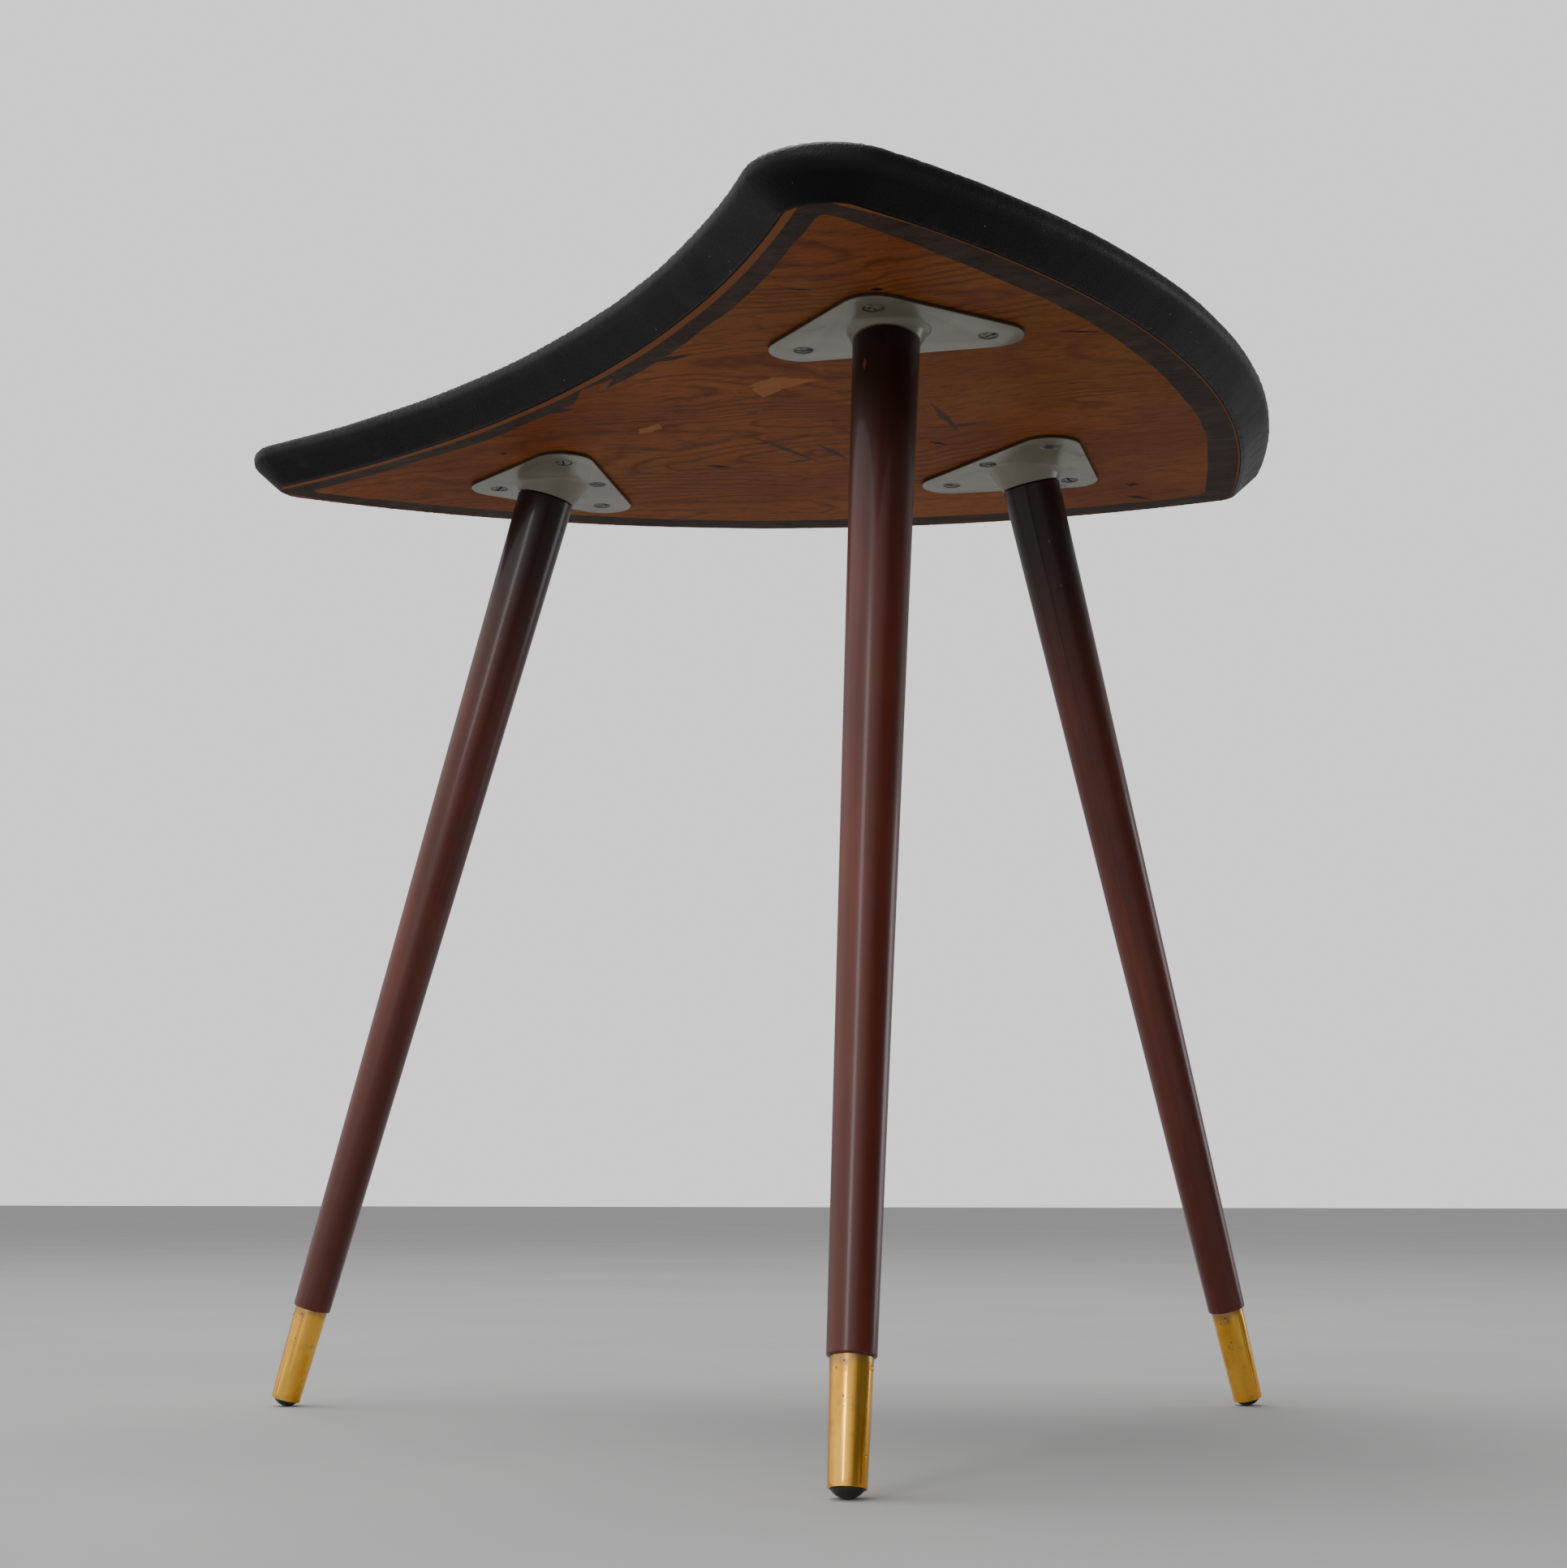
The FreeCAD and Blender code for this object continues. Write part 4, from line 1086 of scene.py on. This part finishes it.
def brass(side):
    material, tree, place = start("ferrule_brass_" + side)
    along = leg_place(tree, place, side)
    clouds = patches(tree, along, 95.0, 0.40, 0.70, detail=4.0, stretch=(1, 1, 0.45))
    tarnish = patches(tree, along, 110.0, 0.55, 0.70, detail=6.0)
    brushed = patches(tree, along, 60.0, 0.40, 0.75, detail=2.0, stretch=(14, 14, 0.6))
    spots = specks(tree, along, 330.0, 0.20, 0.08)
    tone = mix(tree, clouds["Mask"], (0.92, 0.50, 0.075), (0.76, 0.33, 0.032))
    tone = layer(tree, tone, tarnish["Mask"], 0.45, (0.36, 0.20, 0.08))
    depth = put(tree, "SeparateXYZ", {"Vector": along}).outputs["Z"]
    top = -ferrule_top(side)
    rim_width = maths(tree, "MULTIPLY_ADD", clouds["Value"], 14 * MM, depth)
    rim = ramp(tree, rim_width, top + 1 * MM, top + 6 * MM)
    tone = layer(tree, tone, rim, 0.7, (0.30, 0.20, 0.12))
    tone = layer(tree, tone, spots["Mask"], 0.7, (0.06, 0.035, 0.02))
    rough = maths(tree, "MULTIPLY_ADD", tarnish["Mask"], 0.14, 0.14)
    rough = maths(tree, "MULTIPLY_ADD", brushed["Mask"], 0.10, rough)
    rough = maths(tree, "MULTIPLY_ADD", rim, 0.15, rough)
    height = maths(tree, "MULTIPLY_ADD", brushed["Value"], 0.6, maths(tree, "MULTIPLY", spots["Mask"], -0.5))
    surface(tree, {"Base Color": tone, "Roughness": rough, "Metallic": 1.0}, height, 0.04 * MM)
    return material


for side in SIDES:
    finish = brass(side)
    tube = soften("ferrule_" + side, "brass_ferrule_" + side, 0.22 * MM)
    dress(tube, finish)
    fit_in(tube, "leg_" + side, "brass", "ferrule_" + side)
    pin = soften("ferrule_pin_" + side, "brass_pin_" + side, 0.15 * MM)
    dress(pin, finish)
    fit_in(pin, "leg_" + side, "brass", "ferrule_pin_" + side)

# %% [markdown]
# ## Glides
# The domed glides are dark moulded plastic. The part that stands on the floor has been rubbed matt
# and pale by it.

# %% The glide finish


def glide_finish():
    material, tree, place = start("glide_plastic")
    height = put(tree, "SeparateXYZ", {"Vector": place}).outputs["Z"]
    rubbed = patches(tree, place, 380.0, 0.40, 0.62, detail=6.0)
    low = ramp(tree, height, 2.2 * MM, 0.2 * MM)
    worn = maths(tree, "MULTIPLY", low, rubbed["Mask"])
    tone = mix(tree, worn, (0.020, 0.016, 0.013), (0.13, 0.12, 0.105))
    rough = maths(tree, "MULTIPLY_ADD", worn, 0.35, 0.38)
    surface(tree, {"Base Color": tone, "Roughness": rough}, rubbed["Value"], 0.06 * MM)
    return material


GLIDE_FINISH = glide_finish()
for side in SIDES:
    dress(NODES["foot_glide_" + side], GLIDE_FINISH)
print("finish: glide_plastic")

# %% [markdown]
# ## Threaded bolts
# When a leg is unscrewed, the hanger bolt comes into sight between the boss and the leg. The packed
# bolt is a plain rod. Here its upper part gets a true thread: one tooth's profile is swept round the
# axis by a screw modifier, rising one pitch for each turn.

# %% Model one bolt and copy it to each leg
PITCH = 1.25 * MM
CREST = 4.0 * MM
ROOT = 3.3 * MM
BOLT_RISE = 6.0 * MM
THREAD_LENGTH = 31.25 * MM
TAIL_RADIUS = 3.0 * MM
BOLT_LENGTH = 66.0 * MM


def threaded_bolt():
    """A hanger bolt at the origin, its axis along Z and its threaded end up."""
    bpy.ops.mesh.primitive_plane_add(size=PITCH, location=(0, 0, 0))
    bolt = bpy.context.active_object
    bolt.name = "hanger_bolt"
    bpy.ops.object.mode_set(mode="EDIT")
    bpy.ops.mesh.select_all(action="SELECT")
    bpy.ops.mesh.merge(type="CENTER")
    bpy.ops.transform.translate(value=(ROOT, 0, 0))
    for radius, height in ((CREST - ROOT, PITCH / 2), (ROOT - CREST, PITCH / 2)):
        bpy.ops.mesh.extrude_region_move(TRANSFORM_OT_translate={"value": (radius, 0, height)})
    bpy.ops.object.mode_set(mode="OBJECT")
    sweep = bolt.modifiers.new("thread", "SCREW")
    sweep.axis = "Z"
    sweep.screw_offset = PITCH
    sweep.iterations = int(THREAD_LENGTH / PITCH)
    sweep.steps = 24
    sweep.render_steps = 24
    sweep.use_merge_vertices = True
    sweep.merge_threshold = 0.01 * MM
    apply_all(bolt)
    return bolt


def close_ends(bolt):
    """Closes the thread with a domed top and a plain tapered tail."""
    bpy.ops.object.mode_set(mode="EDIT")
    bpy.ops.mesh.select_all(action="DESELECT")
    bpy.ops.mesh.select_non_manifold(extend=False)
    bpy.ops.mesh.edge_face_add()
    bpy.ops.mesh.select_all(action="SELECT")
    bpy.ops.mesh.normals_make_consistent(inside=False)
    bpy.ops.object.mode_set(mode="OBJECT")
    only(bolt)
    bpy.ops.mesh.primitive_cylinder_add(vertices=32, radius=TAIL_RADIUS, depth=BOLT_LENGTH - THREAD_LENGTH,
                                        location=(0, 0, -(BOLT_LENGTH - THREAD_LENGTH) / 2))
    tail = bpy.context.active_object
    bpy.ops.object.transform_apply(location=True, rotation=True, scale=True)
    bpy.ops.object.select_all(action="DESELECT")
    tail.select_set(True)
    bolt.select_set(True)
    bpy.context.view_layer.objects.active = bolt
    bpy.ops.object.join()


BOLT = threaded_bolt()
close_ends(BOLT)
lowest = min(v.co.z for v in BOLT.data.vertices)
highest = max(v.co.z for v in BOLT.data.vertices)
print(f"bolt: {len(BOLT.data.polygons)} faces from {lowest / MM:.1f} to {highest / MM:.1f} mm")

# %% [markdown]
# ## Zinc
# Bolt and nut are zinc plated and dull, grey in cloudy patches.

# %% The zinc finish and the three bolts


def zinc():
    material, tree, place = start("zinc_dull")
    clouds = patches(tree, place, 240.0, 0.36, 0.70, detail=5.0)
    tone = mix(tree, clouds["Mask"], (0.42, 0.42, 0.41), (0.24, 0.235, 0.22))
    rough = maths(tree, "MULTIPLY_ADD", clouds["Value"], 0.3, 0.25)
    surface(tree, {"Base Color": tone, "Roughness": rough, "Metallic": 1.0}, clouds["Value"], 0.03 * MM)
    return material


ZINC = zinc()
for side in SIDES:
    bolt = bpy.data.objects.new("threaded_bolt_" + side, BOLT.data.copy())
    bpy.context.scene.collection.objects.link(bolt)
    top = LEG_TOP[side] - LEG_DOWN[side] * (BOLT_RISE - highest)
    bolt.data.transform(Matrix.Translation(top) @ leg_turn(side).to_matrix().to_4x4())
    dress(bolt, ZINC)
    only(bolt)
    bpy.ops.object.shade_smooth_by_angle(angle=math.radians(25))
    fit_in(bolt, "bolt_" + side, "zinc_steel", "hanger_bolt_" + side)
    dress(NODES["leg_nut_" + side], ZINC)
bpy.data.objects.remove(BOLT)

# %% [markdown]
# ## Floor, light and camera
# A pale matt floor, a pale sky and three soft lamps stand in for a bright yard. The light that
# reaches the underside bounces off the floor. The camera stands low in front of the stool and looks
# up at it.

# %% The floor
FLOOR_SIZE = 40.0


def floor_finish():
    material, tree, place = start("floor_pale")
    uneven = patches(tree, place, 3.0, 0.3, 0.8, detail=5.0)
    tone = mix(tree, uneven["Mask"], (0.42, 0.42, 0.42), (0.46, 0.46, 0.455))
    surface(tree, {"Base Color": tone, "Roughness": 0.75})
    return material


bpy.ops.object.select_all(action="DESELECT")
bpy.ops.mesh.primitive_plane_add(size=FLOOR_SIZE, location=(0, 0, 0))
floor = bpy.context.active_object
floor.name = "pale_floor"
dress(floor, floor_finish())
print("floor:", FLOOR_SIZE, "m across")

# %% The sky and the lamps
# The sky is brightest to the left and in front, where the open yard would be, dark to the front right,
# and middling behind. What is seen directly is one even pale tone.
SKY_KEY = Vector((-0.78, -0.50, 0.38)).normalized()
SKY_DARK = 0.14
SKY_BRIGHT = 1.15
SKY_BEHIND = 0.30
SKY_SEEN = 1.15

world = bpy.data.worlds.new("pale_sky")
world.use_nodes = True
sky = world.node_tree
toward = put(sky, "TexCoord").outputs["Generated"]
facing = put(sky, "VectorMath", {0: toward, 1: SKY_KEY}, operation="DOT_PRODUCT").outputs["Value"]
lit = ramp(sky, facing, 0.0, 0.9, SKY_DARK, SKY_BRIGHT)
back = ramp(sky, put(sky, "SeparateXYZ", {"Vector": toward}).outputs["Y"], 0.0, 0.8, 0.0, SKY_BEHIND)
lit = maths(sky, "ADD", lit, back)
seen = put(sky, "LightPath").outputs["Is Camera Ray"]
strength = put(sky, "Mix", {"Factor": seen, "A": lit, "B": SKY_SEEN}).outputs["Result"]
background = sky.nodes["Background"]
background.inputs["Color"].default_value = colour(1.0, 1.0, 1.0)
sky.links.new(strength, background.inputs["Strength"])
bpy.context.scene.world = world


def lamp(name, place, target, width, height, watts):
    """A soft rectangular lamp that faces a point."""
    light = bpy.data.lights.new(name, "AREA")
    light.shape = "RECTANGLE"
    light.size = width
    light.size_y = height
    light.energy = watts
    holder = bpy.data.objects.new(name, light)
    holder.location = place
    holder.rotation_euler = (Vector(target) - Vector(place)).to_track_quat("-Z", "Y").to_euler()
    bpy.context.scene.collection.objects.link(holder)


lamp("lamp_front", (-1.22, -2.29, 1.5), (0, 0, 0.2), 0.55, 1.6, 13)
lamp("lamp_high", (-0.6, 0.6, 3.2), (0, 0, 0.0), 2.4, 2.4, 70)
lamp("lamp_right", (2.2, 0.9, 0.5), (0.2, 0.1, 0.4), 0.7, 0.7, 4)
print("three soft lamps and a pale sky")

# %% The camera
CAMERA_PLACE = Vector((0.014374, -1.195331, 0.10997))
CAMERA_PITCH = math.radians(9.107)
CAMERA_ROLL = math.radians(0.109)
SENSOR_WIDTH = 36.0
FOCAL_LENGTH = 58.645

camera = bpy.data.objects.new("camera", bpy.data.cameras.new("camera"))
bpy.context.scene.collection.objects.link(camera)
camera.data.sensor_width = SENSOR_WIDTH
camera.data.lens = FOCAL_LENGTH
camera.data.clip_start = 0.01
aim = Matrix.Rotation(math.pi / 2 + CAMERA_PITCH, 4, "X") @ Matrix.Rotation(CAMERA_ROLL, 4, "Z")
camera.matrix_world = Matrix.Translation(CAMERA_PLACE) @ aim
bpy.context.scene.camera = camera
print("camera at", tuple(round(v, 3) for v in CAMERA_PLACE))

# %% [markdown]
# ## Size and finish
# The looks must not change the size of the stool.

# %% Size and finish
print("the scene is built")
